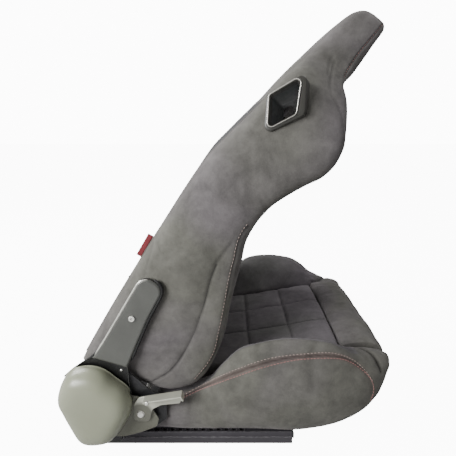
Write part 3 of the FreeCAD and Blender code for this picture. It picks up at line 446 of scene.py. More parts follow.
def sew(name, lines, material, body, pitch=0.0058, length=0.0042, thickness=0.0011):
    """Rows of stitches along lines, kept as a plain piece that rides on a body."""
    made = shown(name, polyline(lines))
    step = made.modifiers.new("made", "NODES")
    step.node_group = STITCHES
    given = {"Pitch": pitch, "Length": length, "Thickness": thickness, "Material": material}
    for item in STITCHES.interface.items_tree:
        if item.item_type == "SOCKET" and item.in_out == "INPUT" and item.name in given:
            step[item.identifier] = given[item.name]
    baked(made)
    if not made.data.materials:
        made.data.materials.append(material)
    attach(made, body)


# Shader groups and materials.

def noise(tree, where, scale, detail, roughness=0.5, distortion=0.0):
    return add(tree, "ShaderNodeTexNoise", {"Vector": where, "Scale": scale, "Detail": detail,
                                            "Roughness": roughness,
                                            "Distortion": distortion}).outputs["Fac"]


def ramp(tree, value, low, high, to_low=0.0, to_high=1.0):
    return add(tree, "ShaderNodeMapRange", {"Value": value, "From Min": low, "From Max": high,
                                            "To Min": to_low, "To Max": to_high}).outputs[0]


def maths(tree, operation, first, second=0.0):
    return add(tree, "ShaderNodeMath", {0: first, 1: second}, operation=operation).outputs[0]


def times(tree, first, second):
    return maths(tree, "MULTIPLY", first, second)


def mix_colour(tree, share, first, second, blend="MIX"):
    return add(tree, "ShaderNodeMix", {0: share, 6: first, 7: second},
               data_type="RGBA", blend_type=blend).outputs[2]


def toned(tree, colour, tone):
    """A colour made lighter or darker all over by one tone."""
    grey = add(tree, "ShaderNodeCombineColor", {"Red": tone, "Green": tone, "Blue": tone})
    return mix_colour(tree, 1.0, colour, grey.outputs[0], "MULTIPLY")


def join(tree, inputs, **links):
    """Links node outputs to inputs, each named by a keyword."""
    for key, socket in links.items():
        tree.links.new(socket, inputs[key.replace("_", " ").title()])


def bump(tree, height, distance, strength, normal=None):
    sockets = {"Height": height, "Distance": distance, "Strength": strength}
    if normal is not None:
        sockets["Normal"] = normal
    return add(tree, "ShaderNodeBump", sockets).outputs[0]


def nap_group():
    """Brushed suede: soft patches where the nap lies over, specks, fine fibres and painted shade
    along seams.
    """
    tree, given, out = new_group("suede_nap", "ShaderNodeTree", {
        "Vector": None, "Color": MID_GREY, "Patch Size": 0.05, "Patch Contrast": 0.3,
        "Fibre Size": 0.0012, "Fibre Depth": 0.0003, "Seam Shade": 0.5, "Tint": MID_GREY,
        "Band": MID_GREY, "Normal": None}, ["Color", "Roughness", "Normal"])
    where = given["Vector"]
    scale = maths(tree, "DIVIDE", 1.0, given["Patch Size"])
    broad = noise(tree, where, scale, 3, 0.55, 0.6)
    small = noise(tree, where, times(tree, scale, 4.5), 4, 0.6, 0.3)
    both = maths(tree, "ADD", times(tree, broad, 0.65), times(tree, small, 0.35))
    patch = ramp(tree, both, 0.36, 0.64, -1.0, 1.0)
    fibre = noise(tree, where, maths(tree, "DIVIDE", 1.0, given["Fibre Size"]), 2, 0.7)
    speck = ramp(tree, fibre, 0.3, 0.7, -0.12, 0.12)
    share = maths(tree, "ADD", times(tree, patch, given["Patch Contrast"]), speck)
    # Painted shade: the seam mask darkens the suede along seams, folds and quilt lines.
    seam = add(tree, "ShaderNodeAttribute", attribute_name="seam").outputs["Fac"]
    dark = maths(tree, "SUBTRACT", 1.0, times(tree, seam, given["Seam Shade"]))
    tone = times(tree, maths(tree, "ADD", 1.0, share), dark)
    drift = ramp(tree, noise(tree, where, 5.0, 2, 0.5, 0.5), 0.38, 0.62)
    hue = mix_colour(tree, drift, given["Color"], given["Tint"])
    band = add(tree, "ShaderNodeAttribute", attribute_name="band").outputs["Fac"]
    hue = mix_colour(tree, band, hue, given["Band"])
    normal = bump(tree, fibre, given["Fibre Depth"], 0.6, given["Normal"])
    join(tree, out, color=toned(tree, hue, tone), roughness=ramp(tree, patch, -1, 1, 0.95, 0.78),
         normal=bump(tree, small, 0.0012, 0.25, normal))
    return tree


def grain_group():
    """Moulded or painted surface: fine grain, slow colour drift and smudges."""
    tree, given, out = new_group("fine_grain", "ShaderNodeTree", {
        "Vector": None, "Color": MID_GREY, "Grain Size": 0.001, "Grain Depth": 0.0002,
        "Roughness": 0.45, "Drift": 0.12, "Normal": None}, ["Color", "Roughness", "Normal"])
    where = given["Vector"]
    slow = ramp(tree, noise(tree, where, 14.0, 3, 0.5, 0.4), 0.3, 0.7, -1, 1)
    fine = noise(tree, where, maths(tree, "DIVIDE", 1.0, given["Grain Size"]), 2, 0.6)
    smudge = ramp(tree, noise(tree, where, 55.0, 4, 0.6, 0.8), 0.3, 0.7, -0.09, 0.09)
    tone = maths(tree, "ADD", 1.0, times(tree, slow, given["Drift"]))
    join(tree, out, color=toned(tree, given["Color"], tone),
         roughness=maths(tree, "ADD", given["Roughness"], smudge),
         normal=bump(tree, fine, given["Grain Depth"], 0.5, given["Normal"]))
    return tree


def wear_and_highlight_group():
    """Mask of the edges, where paint or plastic is lightened by rubbing and, on some finishes, by a
    painted highlight.
    """
    tree, given, out = new_group("edge_wear_and_highlight", "ShaderNodeTree", {
        "Vector": None, "Width": 0.0012, "Amount": 0.6}, ["Mask", "Normal"])
    rounded = add(tree, "ShaderNodeBevel", {"Radius": given["Width"]}, samples=6).outputs[0]
    flat = add(tree, "ShaderNodeNewGeometry").outputs["Normal"]
    turn = add(tree, "ShaderNodeVectorMath", {0: rounded, 1: flat},
               operation="DOT_PRODUCT").outputs["Value"]
    edge = ramp(tree, turn, 0.995, 0.80)
    patchy = ramp(tree, noise(tree, given["Vector"], 90.0, 4, 0.6), 0.35, 0.65, 0.35, 1.0)
    join(tree, out, mask=times(tree, times(tree, edge, patchy), given["Amount"]), normal=rounded)
    return tree


def dust_group():
    """Light dust on faces that look up."""
    tree, given, out = new_group("dust", "ShaderNodeTree", {"Vector": None, "Amount": 0.2},
                                 ["Mask"])
    normal = add(tree, "ShaderNodeNewGeometry").outputs["Normal"]
    up = add(tree, "ShaderNodeSeparateXYZ", {"Vector": normal}).outputs["Z"]
    lies = ramp(tree, up, 0.3, 1.0)
    cloud = ramp(tree, noise(tree, given["Vector"], 40.0, 5, 0.7), 0.4, 0.75)
    join(tree, out, mask=times(tree, times(tree, lies, cloud), given["Amount"]))
    return tree


def weave_group():
    """Plain woven cloth from two crossed sets of threads."""
    tree, given, out = new_group("plain_weave", "ShaderNodeTree", {
        "Vector": None, "Color": MID_GREY, "Thread": 0.0011, "Depth": 0.0003},
        ["Color", "Normal"])
    parts = add(tree, "ShaderNodeSeparateXYZ", {"Vector": given["Vector"]}).outputs
    step = maths(tree, "DIVIDE", math.pi, given["Thread"])
    across = maths(tree, "SINE", times(tree, parts["Y"], step))
    rise = maths(tree, "ADD", parts["Z"], parts["X"])
    rise = maths(tree, "SINE", times(tree, rise, step))
    height = ramp(tree, times(tree, across, rise), -1, 1)
    tone = ramp(tree, height, 0, 1, 0.65, 1.2)
    drift = ramp(tree, noise(tree, given["Vector"], 30.0, 3), 0.3, 0.7, 0.88, 1.12)
    join(tree, out, color=toned(tree, given["Color"], times(tree, tone, drift)),
         normal=bump(tree, height, given["Depth"], 0.7))
    return tree


def new_material(name, **uniform):
    """A material whose shader's even values are set on its own sockets."""
    material = bpy.data.materials.new(name)
    material.use_nodes = True
    tree = material.node_tree
    tree.nodes.clear()
    shader = add(tree, "ShaderNodeBsdfPrincipled",
                 {key.replace("_", " ").title().replace("Ior", "IOR"): value
                  for key, value in uniform.items()})
    add(tree, "ShaderNodeOutputMaterial", {"Surface": shader.outputs[0]})
    where = add(tree, "ShaderNodeTexCoord").outputs["Object"]
    return material, tree, shader, where


def use(tree, group, sockets):
    return add(tree, "ShaderNodeGroup", sockets, node_tree=group).outputs


# Seam sets how far the seam mask darkens the suede: painted shade along seams, folds and quilt
# lines.
def suede(name, colour, tint, contrast=0.16, seam=0.6):
    material, tree, shader, where = new_material(
        name, roughness=0.9, sheen_weight=0.25, sheen_roughness=0.45,
        sheen_tint=(*(min(1, c * 2.6 + 0.15) for c in colour), 1), specular_ior_level=0.2)
    nap = use(tree, NAP, {"Vector": where, "Color": (*colour, 1), "Patch Size": 0.05,
                          "Patch Contrast": contrast, "Seam Shade": seam,
                          "Tint": (*tint, 1), "Band": (0.19, 0.105, 0.10, 1)})
    join(tree, shader.inputs, base_color=nap["Color"], roughness=nap["Roughness"],
         normal=nap["Normal"])
    return material


def woven(name, colour, thread=0.0012):
    material, tree, shader, where = new_material(name, roughness=0.85, sheen_weight=0.15,
                                                 sheen_roughness=0.5, specular_ior_level=0.25)
    cloth = use(tree, WEAVE, {"Vector": where, "Color": (*colour, 1), "Thread": thread,
                              "Depth": 0.0003})
    join(tree, shader.inputs, base_color=cloth["Color"], normal=cloth["Normal"])
    return material


def finish(name, colour, roughness, metallic=0.0, grain=0.0009, depth=0.00012, worn_and_lit=0.5,
           wear_and_highlight_colour=None, dust=0.12, drift=0.1, coat=0.0, width=0.0012, dark_inset_and_shade=None, hub=None):
    """Painted, plated or moulded rigid surface with edges lightened by rubbing and, on some
    finishes, by a painted highlight, and a little dust.

    Dark inset and shade is a second colour for what lies nearer the seat's middle, with the
    distance across, in metres, from which the first one shows: partly a darker paint on the sunken
    plate and partly painted shade on the side walls and recess below the raised face. Hub is a
    second colour round a pin that runs across the seat, with the pin's place and the reach of that
    colour."""
    material, tree, shader, where = new_material(
        name, metallic=metallic, coat_weight=coat, coat_roughness=0.25)
    wear_and_highlight_mask = use(tree, WEAR_AND_HIGHLIGHT, {"Vector": where, "Width": width, "Amount": worn_and_lit})
    base = use(tree, GRAIN, {"Vector": where, "Color": (*colour, 1), "Grain Size": grain,
                             "Grain Depth": depth, "Roughness": roughness, "Drift": drift,
                             "Normal": wear_and_highlight_mask["Normal"]})
    rubbed = wear_and_highlight_colour or tuple(min(1, c * 1.9 + 0.06) for c in colour)
    shade = base["Color"]
    # Painted shade: the near-black colour below the raised face also covers its side walls and the
    # recess under it, where shade falls.
    if dark_inset_and_shade:
        tone, reach = dark_inset_and_shade
        across = add(tree, "ShaderNodeSeparateXYZ", {"Vector": where}).outputs["Y"]
        raised = ramp(tree, maths(tree, "ABSOLUTE", across), reach - 0.0006, reach)
        shade = mix_colour(tree, raised, (*tone, 1), shade)
    if hub:
        tone, (x, z), reach = hub
        side_on = add(tree, "ShaderNodeVectorMath", {0: where, 1: (1, 0, 1)}, operation="MULTIPLY")
        far = add(tree, "ShaderNodeVectorMath", {0: side_on.outputs[0], 1: (x, 0, z)},
                  operation="DISTANCE").outputs["Value"]
        shade = mix_colour(tree, ramp(tree, far, reach * 0.8, reach * 1.1), (*tone, 1), shade)
    # Edge colour: lightened by rubbing, and on some finishes also a painted highlight along the
    # edges.
    shade = mix_colour(tree, wear_and_highlight_mask["Mask"], shade, (*rubbed, 1))
    settled = use(tree, DUST, {"Vector": where, "Amount": dust})
    shade = mix_colour(tree, settled["Mask"], shade, (0.35, 0.33, 0.30, 1))
    join(tree, shader.inputs, base_color=shade, normal=base["Normal"], roughness=base["Roughness"])
    return material


def thread(name, colour, roughness):
    return finish(name, colour, roughness, grain=0.0004, depth=0.00008, worn_and_lit=0, dust=0)


# Camera and light.

def make_camera():
    data = bpy.data.cameras.new("camera")
    data.sensor_width = 36
    data.lens = data.sensor_width * FOCAL_PIXELS / FRAME_PIXELS
    camera = shown("camera", data)
    camera.location = EYE
    camera.rotation_euler = (math.pi / 2 - PITCH, 0, 0)
    bpy.context.scene.camera = camera


def softbox(name, place, target, size, power):
    data = bpy.data.lights.new(name, "AREA")
    data.shape = "RECTANGLE"
    data.size, data.size_y = size
    data.energy = power
    light = shown(name, data)
    light.location = place
    way = Vector(target) - Vector(place)
    light.rotation_euler = way.to_track_quat("-Z", "Y").to_euler()


ROOM_LIGHT = 0.25
BACKDROP_LIGHT = 12.0
FLOOR_GLOW = 11.0
FLOOR_REACH = 12


def make_studio():
    corners = [(x * FLOOR_REACH, y * FLOOR_REACH, 0)
               for x, y in ((-1, -1), (1, -1), (1, 1), (-1, 1))]
    floor = object_from("floor", corners, [(0, 1, 2, 3)])
    material, tree, shader, where = new_material("floor_paper", roughness=0.9,
                                                 specular_ior_level=0.1)
    paper = ramp(tree, noise(tree, where, 300.0, 2), 0.3, 0.7, 0.44, 0.48)
    grey = add(tree, "ShaderNodeCombineColor", {"Red": paper, "Green": paper, "Blue": paper})
    join(tree, shader.inputs, base_color=grey.outputs[0])
    seen = add(tree, "ShaderNodeLightPath").outputs["Is Camera Ray"]
    shader.inputs["Emission Color"].default_value = (1, 1, 1, 1)
    join(tree, shader.inputs, emission_strength=times(tree, seen, FLOOR_GLOW))
    floor.data.materials.append(material)

    world = bpy.data.worlds.new("studio")
    world.use_nodes = True
    tree = world.node_tree
    seen = add(tree, "ShaderNodeLightPath").outputs["Is Camera Ray"]
    power = ramp(tree, seen, 0, 1, ROOM_LIGHT, BACKDROP_LIGHT)
    sky = tree.nodes["Background"]
    sky.inputs["Color"].default_value = (1, 1, 1, 1)
    tree.links.new(power, sky.inputs["Strength"])
    bpy.context.scene.world = world
    middle = (0.05, 0, 0.4)
    softbox("key_softbox", (-1.45, -1.45, 1.1), (0.02, 0, 0.34), size=(1.1, 0.9), power=70)
    softbox("rear_softbox", (-1.6, 0.9, 1.7), middle, size=(0.9, 1.2), power=50)
    softbox("front_softbox", (1.7, -0.9, 1.2), middle, size=(1.0, 1.0), power=1.5)
    softbox("top_softbox", (0.95, 0.25, 1.9), (0.15, 0, 0.2), size=(0.8, 0.8), power=10)


make_camera()
make_studio()

# Finishes.

NAP = nap_group()
GRAIN = grain_group()
WEAR_AND_HIGHLIGHT = wear_and_highlight_group()
DUST = dust_group()
WEAVE = weave_group()
STITCHES = stitch_tree()

side_suede = suede("side_suede", (0.132, 0.122, 0.124), (0.120, 0.118, 0.103), contrast=0.22)
centre_suede = suede("centre_suede", (0.140, 0.127, 0.137), (0.122, 0.119, 0.116), seam=0.35)
back_cloth = woven("back_cloth", (0.034, 0.033, 0.034))
slot_lining = finish("slot_lining", (0.046, 0.054, 0.054), 0.4, grain=0.0008, worn_and_lit=0, dust=0)
# Painted highlight: the rib round the slot opening is made bright and metallic to stand for the
# light line along its crest.
rib_highlight = finish("rib_highlight", (0.62, 0.60, 0.55), 0.24, 0.6, worn_and_lit=0.2, dust=0.05)
# Painted highlight: the arm's rolled rear edge gets a bright steel colour to stand for the light
# line along it.
rolled_edge_highlight = finish("rolled_edge_highlight", (0.66, 0.66, 0.60), 0.28, 0.45, worn_and_lit=0.3, dust=0.05)
# Painted shade: near-black strips laid along the arm's front edge and its foot, where shade falls
# beside the arm.
black_shade_strip = finish("black_shade_strip", (0.010, 0.010, 0.010), 0.6, worn_and_lit=0.1, dust=0.02)
tag_cloth = woven("tag_cloth", (0.215, 0.034, 0.041), thread=0.0007)
pale_thread = thread("pale_thread", (0.47, 0.37, 0.33), 0.7)
rose_thread = thread("rose_thread", (0.42, 0.21, 0.195), 0.7)
dark_thread = thread("dark_thread", (0.085, 0.077, 0.083), 0.8)
# Painted shade: a near-black thread draws the side seam's dark line.
seam_shade_thread = thread("seam_shade_thread", (0.022, 0.021, 0.022), 0.8)

arm_face = -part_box("recliner_arm_right")[0].y
FINISHES = {
    # Light edge colours: mostly on rail_paint, and in part on arm_paint and bezel_plastic, they are
    # a painted highlight along the edges; the rest is rubbing.
    "rail_paint": finish("rail_paint", (0.075, 0.070, 0.080), 0.42, 0.3, coat=0.3,
                         worn_and_lit=0.8, wear_and_highlight_colour=(0.45, 0.44, 0.45), width=0.0016),
    "roller_steel": finish("roller_steel", (0.55, 0.55, 0.57), 0.28, 1.0),
    "cage_plastic": finish("cage_plastic", (0.05, 0.05, 0.05), 0.6),
    "frame_paint": finish("frame_paint", (0.022, 0.022, 0.024), 0.45, 0.2, coat=0.3,
                          wear_and_highlight_colour=(0.20, 0.20, 0.20)),
    # arm_paint: the near-black below the raised dish is partly two-tone paint on the plate and
    # partly painted shade on the dish's side walls and the recess.
    "arm_paint": finish("arm_paint", (0.095, 0.097, 0.088), 0.40, 0.2, coat=0.4,
                        wear_and_highlight_colour=(0.55, 0.55, 0.52), width=0.0022,
                        dark_inset_and_shade=((0.008, 0.008, 0.008), arm_face - 0.0025)),
    "lever_steel": finish("lever_steel", (0.58, 0.58, 0.49), 0.36, 0.4, coat=0.25,
                          wear_and_highlight_colour=(0.75, 0.74, 0.66), width=0.0018,
                          hub=((0.17, 0.17, 0.14), (-0.099, 0.106), 0.023)),
    "bright_steel": finish("bright_steel", (0.86, 0.85, 0.80), 0.25, 0.5, worn_and_lit=0.1),
    "cover_plastic": finish("cover_plastic", (0.272, 0.284, 0.205), 0.36, grain=0.0008,
                            depth=0.00010, worn_and_lit=0.35, coat=0.35, drift=0.06),
    "bezel_plastic": finish("bezel_plastic", (0.042, 0.041, 0.036), 0.45, coat=0.1, worn_and_lit=0.3,
                            wear_and_highlight_colour=(0.30, 0.29, 0.27), width=0.0014),
}
for row in frame["record"]["subparts"]:
    slot = row.get("material_slot")
    node = nodes.get(row["node"])
    if node is not None and slot in FINISHES:
        node.data.materials.clear()
        node.data.materials.append(FINISHES[slot])
bracket_paint = finish("bracket_paint", (0.15, 0.15, 0.12), 0.42, 0.3, coat=0.2,
                       wear_and_highlight_colour=(0.5, 0.5, 0.44), width=0.0014)
for side, _ in SIDES:
    nodes["lever_bracket_" + side].data.materials[0] = bracket_paint

# Backrest cover.

# One measure each, by height: the rear, the front edge, half the width, the front's
# middle, half the recess, and the roundness of the front edge and of the rear edge.
REAR = [(26, -57), (50, -58.5), (145, -58.2), (244, -56.2), (318, -55.2), (380, -53.2),
        (454, -48), (513, -34), (561, -21.5), (604, -10), (637, -2.5), (668, 5.5), (722, 21),
        (758, 31), (776, 36), (790, 41), (800, 49), (811, 61), (817, 72)]
FRONT = [(26, -20), (28, -13), (34, 10), (42, 37), (50, 62), (55, 77), (62, 104), (80, 126),
         (105, 144), (132, 149), (170, 146), (213, 137), (268, 117), (342, 94), (379, 82.5),
         (402, 81.5), (439, 86.5), (483, 105), (508, 119), (531, 133.5), (560, 139.5), (586, 136),
         (604, 128), (627, 117), (650, 106.5), (663, 99), (668, 95), (674, 91.5), (680, 91),
         (705, 95), (740, 98.5), (775, 102), (790, 104), (800, 105), (811, 103.5), (817, 98)]
HALF = [(26, 211), (34, 217), (50, 222), (58, 227), (70, 233), (108, 239), (300, 240),
        (390, 236), (440, 234), (500, 236), (565, 240), (590, 240), (610, 236), (630, 226),
        (648, 210), (665, 190), (680, 171), (695, 156), (712, 147), (735, 140), (775, 132),
        (797, 125), (811, 112), (817, 97)]
CENTRE = [(26, -36), (42, 14), (50, 34), (60, 46), (108, 52), (140, 53), (215, 54), (300, 48),
          (390, 38), (440, 33), (500, 30), (565, 33), (604, 40), (636, 56), (663, 74),
          (680, 85), (705, 94), (740, 98), (775, 101), (800, 94), (817, 76)]
INNER = [(26, 170), (604, 170), (640, 158), (665, 146), (680, 130), (712, 112), (775, 98),
         (817, 50)]
TIP = [(26, 9), (50, 14), (108, 22), (560, 23), (604, 20), (640, 15), (665, 11), (700, 14),
       (790, 14), (811, 9), (817, 3)]
CORNER = [(26, 10), (50, 26), (108, 38), (560, 38), (620, 34), (680, 26), (775, 20), (800, 13),
          (811, 7), (817, 3)]
RECESS_FLOOR = -14.0
RECESS_TOP = 604.0


def back_half_loop(rise, recess):
    """Half of a level cut through the cover, from the rear's middle to the front's."""
    rear, front, half, centre, inner, tip, corner = (
        from_table(table, rise) for table in (REAR, FRONT, HALF, CENTRE, INNER, TIP, CORNER))
    low = min(RECESS_FLOOR, centre - 6)
    runs = [
        straight_run((rear, 0), (rear, half - corner), 11),
        arc_run((rear, half - corner), (rear, half), (rear + corner, half), 9)[1:],
        straight_run((rear + corner, half), (front - tip, half), 21, (0, 1.2))[1:],
        arc_run((front - tip, half), (front, half), (front, half - tip), 6)[1:],
        arc_run((front, half - tip), (front, half - 2 * tip),
                (front - tip * 0.8, half - 2 * tip), 6)[1:],
    ]
    start = runs[-1][-1]
    bulge = min(7.0, (half - inner) * 0.12)
    runs.append(straight_run(start, (centre, inner), 16, (bulge, 0))[1:])
    if recess:
        runs.append(straight_run((centre, inner), (low, inner), 6)[1:])
        runs.append(straight_run((low, inner), (low, 0), 9)[1:])
    else:
        runs.append(straight_run((centre, inner), (centre + 1, inner - 8), 6)[1:])
        share = np.linspace(1, 0, 9)[1:]
        runs.append(np.column_stack([front - (front - centre - 1) * share ** 2,
                                     (inner - 8) * share]))
    half_loop = np.concatenate(runs)
    return np.column_stack([half_loop, np.full(len(half_loop), rise)])


def level_loop(half_loop):
    """Both halves of a level cut as one closed loop."""
    near = half_loop * (1, -1, 1)
    return np.concatenate([near, half_loop[-2:0:-1]])


def zip_end(count, first):
    """Closes an end by joining the outer half of its loop to the inner half."""
    half = count // 2
    faces = []
    for k in range(half // 2):
        faces.append((k, k + 1, half - k - 1, half - k))
    for k in range(half // 2):
        a, b = (count - k) % count, count - k - 1
        faces.append((a, b, half + k + 1, half + k))
    return [tuple(first + i for i in face) for face in faces]


def make_back_cover():
    lower = [26, 27, 29, 32, 36, 41, 47, 54, 61, 69, 77, *np.arange(86, RECESS_TOP - 4, 6.6),
             RECESS_TOP - 0.5]
    upper = [RECESS_TOP, *np.arange(610, 700, 5.0), *np.arange(705, 795, 6.5),
             797, 802, 806, 810, 813, 815.5, 817]
    rows = np.array([from_back(level_loop(back_half_loop(rise, recess)))
                     for rises, recess in ((lower, True), (upper, False)) for rise in rises])
    cover = loft("back_cover", rows, side_suede, caps=False)
    bm = bmesh.new()
    around = rows.shape[1]
    bm.from_mesh(cover.data)
    bm.verts.ensure_lookup_table()
    for first in (0, (len(rows) - 1) * around):
        for face in zip_end(around, first):
            corners = []
            for index in face:
                corner = bm.verts[index]
                if corner not in corners:
                    corners.append(corner)
            if len(corners) > 2:
                bm.faces.new(corners)
    bmesh.ops.recalc_face_normals(bm, faces=bm.faces)
    bm.to_mesh(cover.data)
    bm.free()
    smooth(cover)
    return cover


SEAM_STEP = 0.004
FLANK = 240.0


def back_points(pairs, across=-FLANK):
    return dense(from_back([(u, across, w) for u, w in pairs]), SEAM_STEP)


SIDE_SEAM = [(57, 56), (71, 75), (85, 104), (89.8, 138), (89.9, 159), (88, 181), (84.9, 202),
             (80, 224), (74.6, 246), (68.5, 267), (61, 294), (56.5, 318)]
SIDE_FOLD = [(56.5, 318), (57, 341), (59.6, 364)]
PULL = [(57, 451), (67, 448), (80, 440)]
EDGE_SEAM = [(135, 118), (138, 150), (135, 186), (126, 212), (117, 238), (105, 269), (91, 305),
             (77, 346), (69, 370), (66, 388), (67, 402)]
HEAD_SEAM = [(97, 801), (95.5, 792), (94, 779), (90.8, 760), (88.6, 745), (87.6, 727), (87.4, 711),
             (89, 698)]
SHOULDER_FOLD = [(45, 683), (50, 671), (59, 653), (69, 642), (86, 634), (102, 623), (110, 614)]
UPPER_FOLD = [(39, 688), (42, 676), (48, 664)]
REAR_SEAM = [(-34, 190), (-34, 215), (-36, 234), (-44, 265), (-52, 298)]


def to_back(co):
    """Points where they stand, in the upright backrest frame's millimetres."""
    x, y, z = (co * 1000).T
    dx, dz = x - HINGE[0], z - HINGE[1]
    u = dx * math.cos(LEAN) - dz * math.sin(LEAN)
    w = dx * math.sin(LEAN) + dz * math.cos(LEAN)
    return np.stack([u, y, w], -1)


# Harness slots.

SLOT_CORNERS = [(-10.5, 593), (14, 552), (39.5, 589.5), (16.5, 637)]
COLLAR_CORNERS = [(-17, 589), (13, 538), (54, 596), (20, 652)]
SLOT_MIDDLE = (22, 596)
SLOT_ROOM = 62
SLOT_LEAN = 0.55
COLLAR_LEAN = math.tan(math.radians(12))
COLLAR_RISE = 7.0


def rounded(corners, radius, grow):
    """Closed outline with its corners rounded by tangent arcs, offset outwards by grow."""
    corners = [np.asarray(c, float) for c in corners]
    points = []
    for before, corner, after in zip(corners[-1:] + corners[:-1], corners,
                                     corners[1:] + corners[:1]):
        inward = (before - corner) / np.linalg.norm(before - corner)
        outward = (after - corner) / np.linalg.norm(after - corner)
        half = math.acos(float(np.clip(inward @ outward, -1, 1))) / 2
        reach = radius / math.tan(half)
        middle = inward + outward
        centre = corner + middle / np.linalg.norm(middle) * (radius / math.sin(half))
        first = corner + inward * reach - centre
        last = corner + outward * reach - centre
        turn = math.atan2(first[0] * last[1] - first[1] * last[0], first @ last)
        for step in np.linspace(0, turn, 9):
            spin = np.array([[math.cos(step), -math.sin(step)], [math.sin(step), math.cos(step)]])
            points.append(centre + spin @ first * (1 + grow / radius))
    return np.array(points)


def collar_line(grow=0.0):
    return rounded(COLLAR_CORNERS, 10, grow)


def opening_line(grow):
    return rounded(SLOT_CORNERS, 5, grow)


def slot_level(outline, distance, sign):
    """The leaning slot's outline at one distance from the seat's middle."""
    distance = np.broadcast_to(distance, len(outline))
    u = outline[:, 0] + (FLANK - distance) * SLOT_LEAN
    return from_back(np.column_stack([u, sign * distance, outline[:, 1]]))


def at_rim(outline, drop, sign):
    """The leaning outline where it meets the collar's tilted rim, less drop."""
    rise = COLLAR_RISE - drop + (outline[:, 0] - 20) * COLLAR_LEAN
    return slot_level(outline, FLANK + rise / (1 + SLOT_LEAN * COLLAR_LEAN), sign)


def make_bezel(side, sign):
    """Slot surround: flange, raised rib round the opening coloured as a bright painted highlight,
    and the lined tunnel.
    """
    plastic, lining, rib = 0, 1, 2
    rows = [(slot_level(collar_line(), FLANK - 9, sign), plastic)]
    for grow, drop in ((0, 4.4), (-0.1, 3.3), (-0.6, 2.6), (-1.3, 2.3)):
        rows.append((at_rim(collar_line(grow), drop, sign), plastic))
    for grow, drop, look in ((4.6, 1.9, plastic), (4.1, 0.8, plastic), (3.5, 0.15, rib),
                             (2.9, 0, rib), (2.3, 0.15, rib), (1.8, 0.8, plastic),
                             (0.7, 1.9, plastic), (0, 3.2, plastic)):
        rows.append((at_rim(opening_line(grow), drop, sign), look))
    for depth, grow in ((2, 0), (9, 0), (26, 0), (50, 0), (52, 0.6), (52, 2.4), (50, 3), (9, 3)):
        rows.append((slot_level(opening_line(grow), FLANK - depth, sign),
                     lining if depth > 8 else plastic))
    rows.append(rows[0])
    bezel = loft("slot_surround_" + side, [row for row, _ in rows], FINISHES["bezel_plastic"],
                 caps=False)
    bezel.data.set_sharp_from_angle(angle=math.radians(50))
    for look in (slot_lining, rib_highlight):
        bezel.data.materials.append(look)
    around = len(rows[0][0])
    for polygon in bezel.data.polygons:
        polygon.material_index = rows[polygon.index // around][1]
    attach(bezel, "backrest")
    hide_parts("slot_bezel_" + side)


def cut_slots(cover):
    """Opens the cover where the harness slots run through it."""
    opening = opening_line(3.5)
    cutters = []
    for side, sign in SIDES:
        rows = [slot_level(opening, distance, sign) for distance in (110, 300)]
        cutters.append(loft("slot_cutter_" + side, rows, slot_lining))
        step = cover.modifiers.new("slot", "BOOLEAN")
        step.operation = "DIFFERENCE"
        step.solver = "EXACT"
        step.material_mode = "TRANSFER"
        step.object = cutters[-1]
    baked(cover)
    for cutter in cutters:
        bpy.data.objects.remove(cutter)


# Backrest pieces.

def both_sides(lines):
    return list(lines) + [mirror_line(line) for line in lines]


def back_seams(bvh):
    """Every seam of the backrest cover as lines on its surface, right and left."""
    seen = [seen_on(bvh, back_points(pairs)) for pairs in (SIDE_SEAM, EDGE_SEAM)]
    head = seen_on(bvh, back_points(HEAD_SEAM, across=-128.0))
    welt = onto(bvh, dense(from_back([(u - 3, -panel_edge(w), w)
                                      for w, u in REAR[2:-2] if w > 297]), SEAM_STEP))[0]
    return [both_sides([line]) for line in (*seen, head, welt)]


def panel_edge(rise):
    """Distance from the seat's middle at which the flat rear turns into the flank."""
    return from_table(HALF, rise) - from_table(CORNER, rise)


PIPING_RADIUS = 0.002
PIPING_SUNK = 0.0006


def make_piping(bvh):
    """Piping sewn round the rear panel."""
    low, high, turn = 38, 600.5, 6
    side = [(-panel_edge(max(w, 60)), w) for w in np.arange(low + turn, high - turn, 12)]
    arcs = []
    for edge, rise, start in ((panel_edge(60), low + turn, 1.5), (panel_edge(594), high - turn, 1)):
        arcs.append([(turn - edge + turn * math.cos(t), rise + turn * math.sin(t))
                     for t in np.linspace(start, start - 0.5, 6) * math.pi])
    foot, corner = arcs
    half = foot + side[1:] + corner
    run = np.arange(-175, 180, 25)
    route = (half + [(y, high) for y in run] + [(-y, w) for y, w in half[::-1]]
             + [(-y, low) for y in run])
    places, ways = onto(bvh, from_back([(from_table(REAR, w) - 1, y, w) for y, w in route]),
                        -PIPING_SUNK)
    ahead = unit(np.roll(places, -1, axis=0) - np.roll(places, 1, axis=0))
    aside = np.cross(ahead, ways)
    rows = np.stack([places + PIPING_RADIUS * (ways * math.cos(t) + aside * math.sin(t))
                     for t in full_turn(10)], axis=1)
    piping = loft("rear_piping", np.concatenate([rows, rows[:1]]), side_suede, caps=False)
    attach(piping, "backrest")


def back_folds(bvh):
    """Soft folds of the cover, right and left."""
    return [line for pairs in (SIDE_FOLD, SHOULDER_FOLD, UPPER_FOLD, PULL, REAR_SEAM)
            for line in both_sides([seen_on(bvh, back_points(pairs))])]


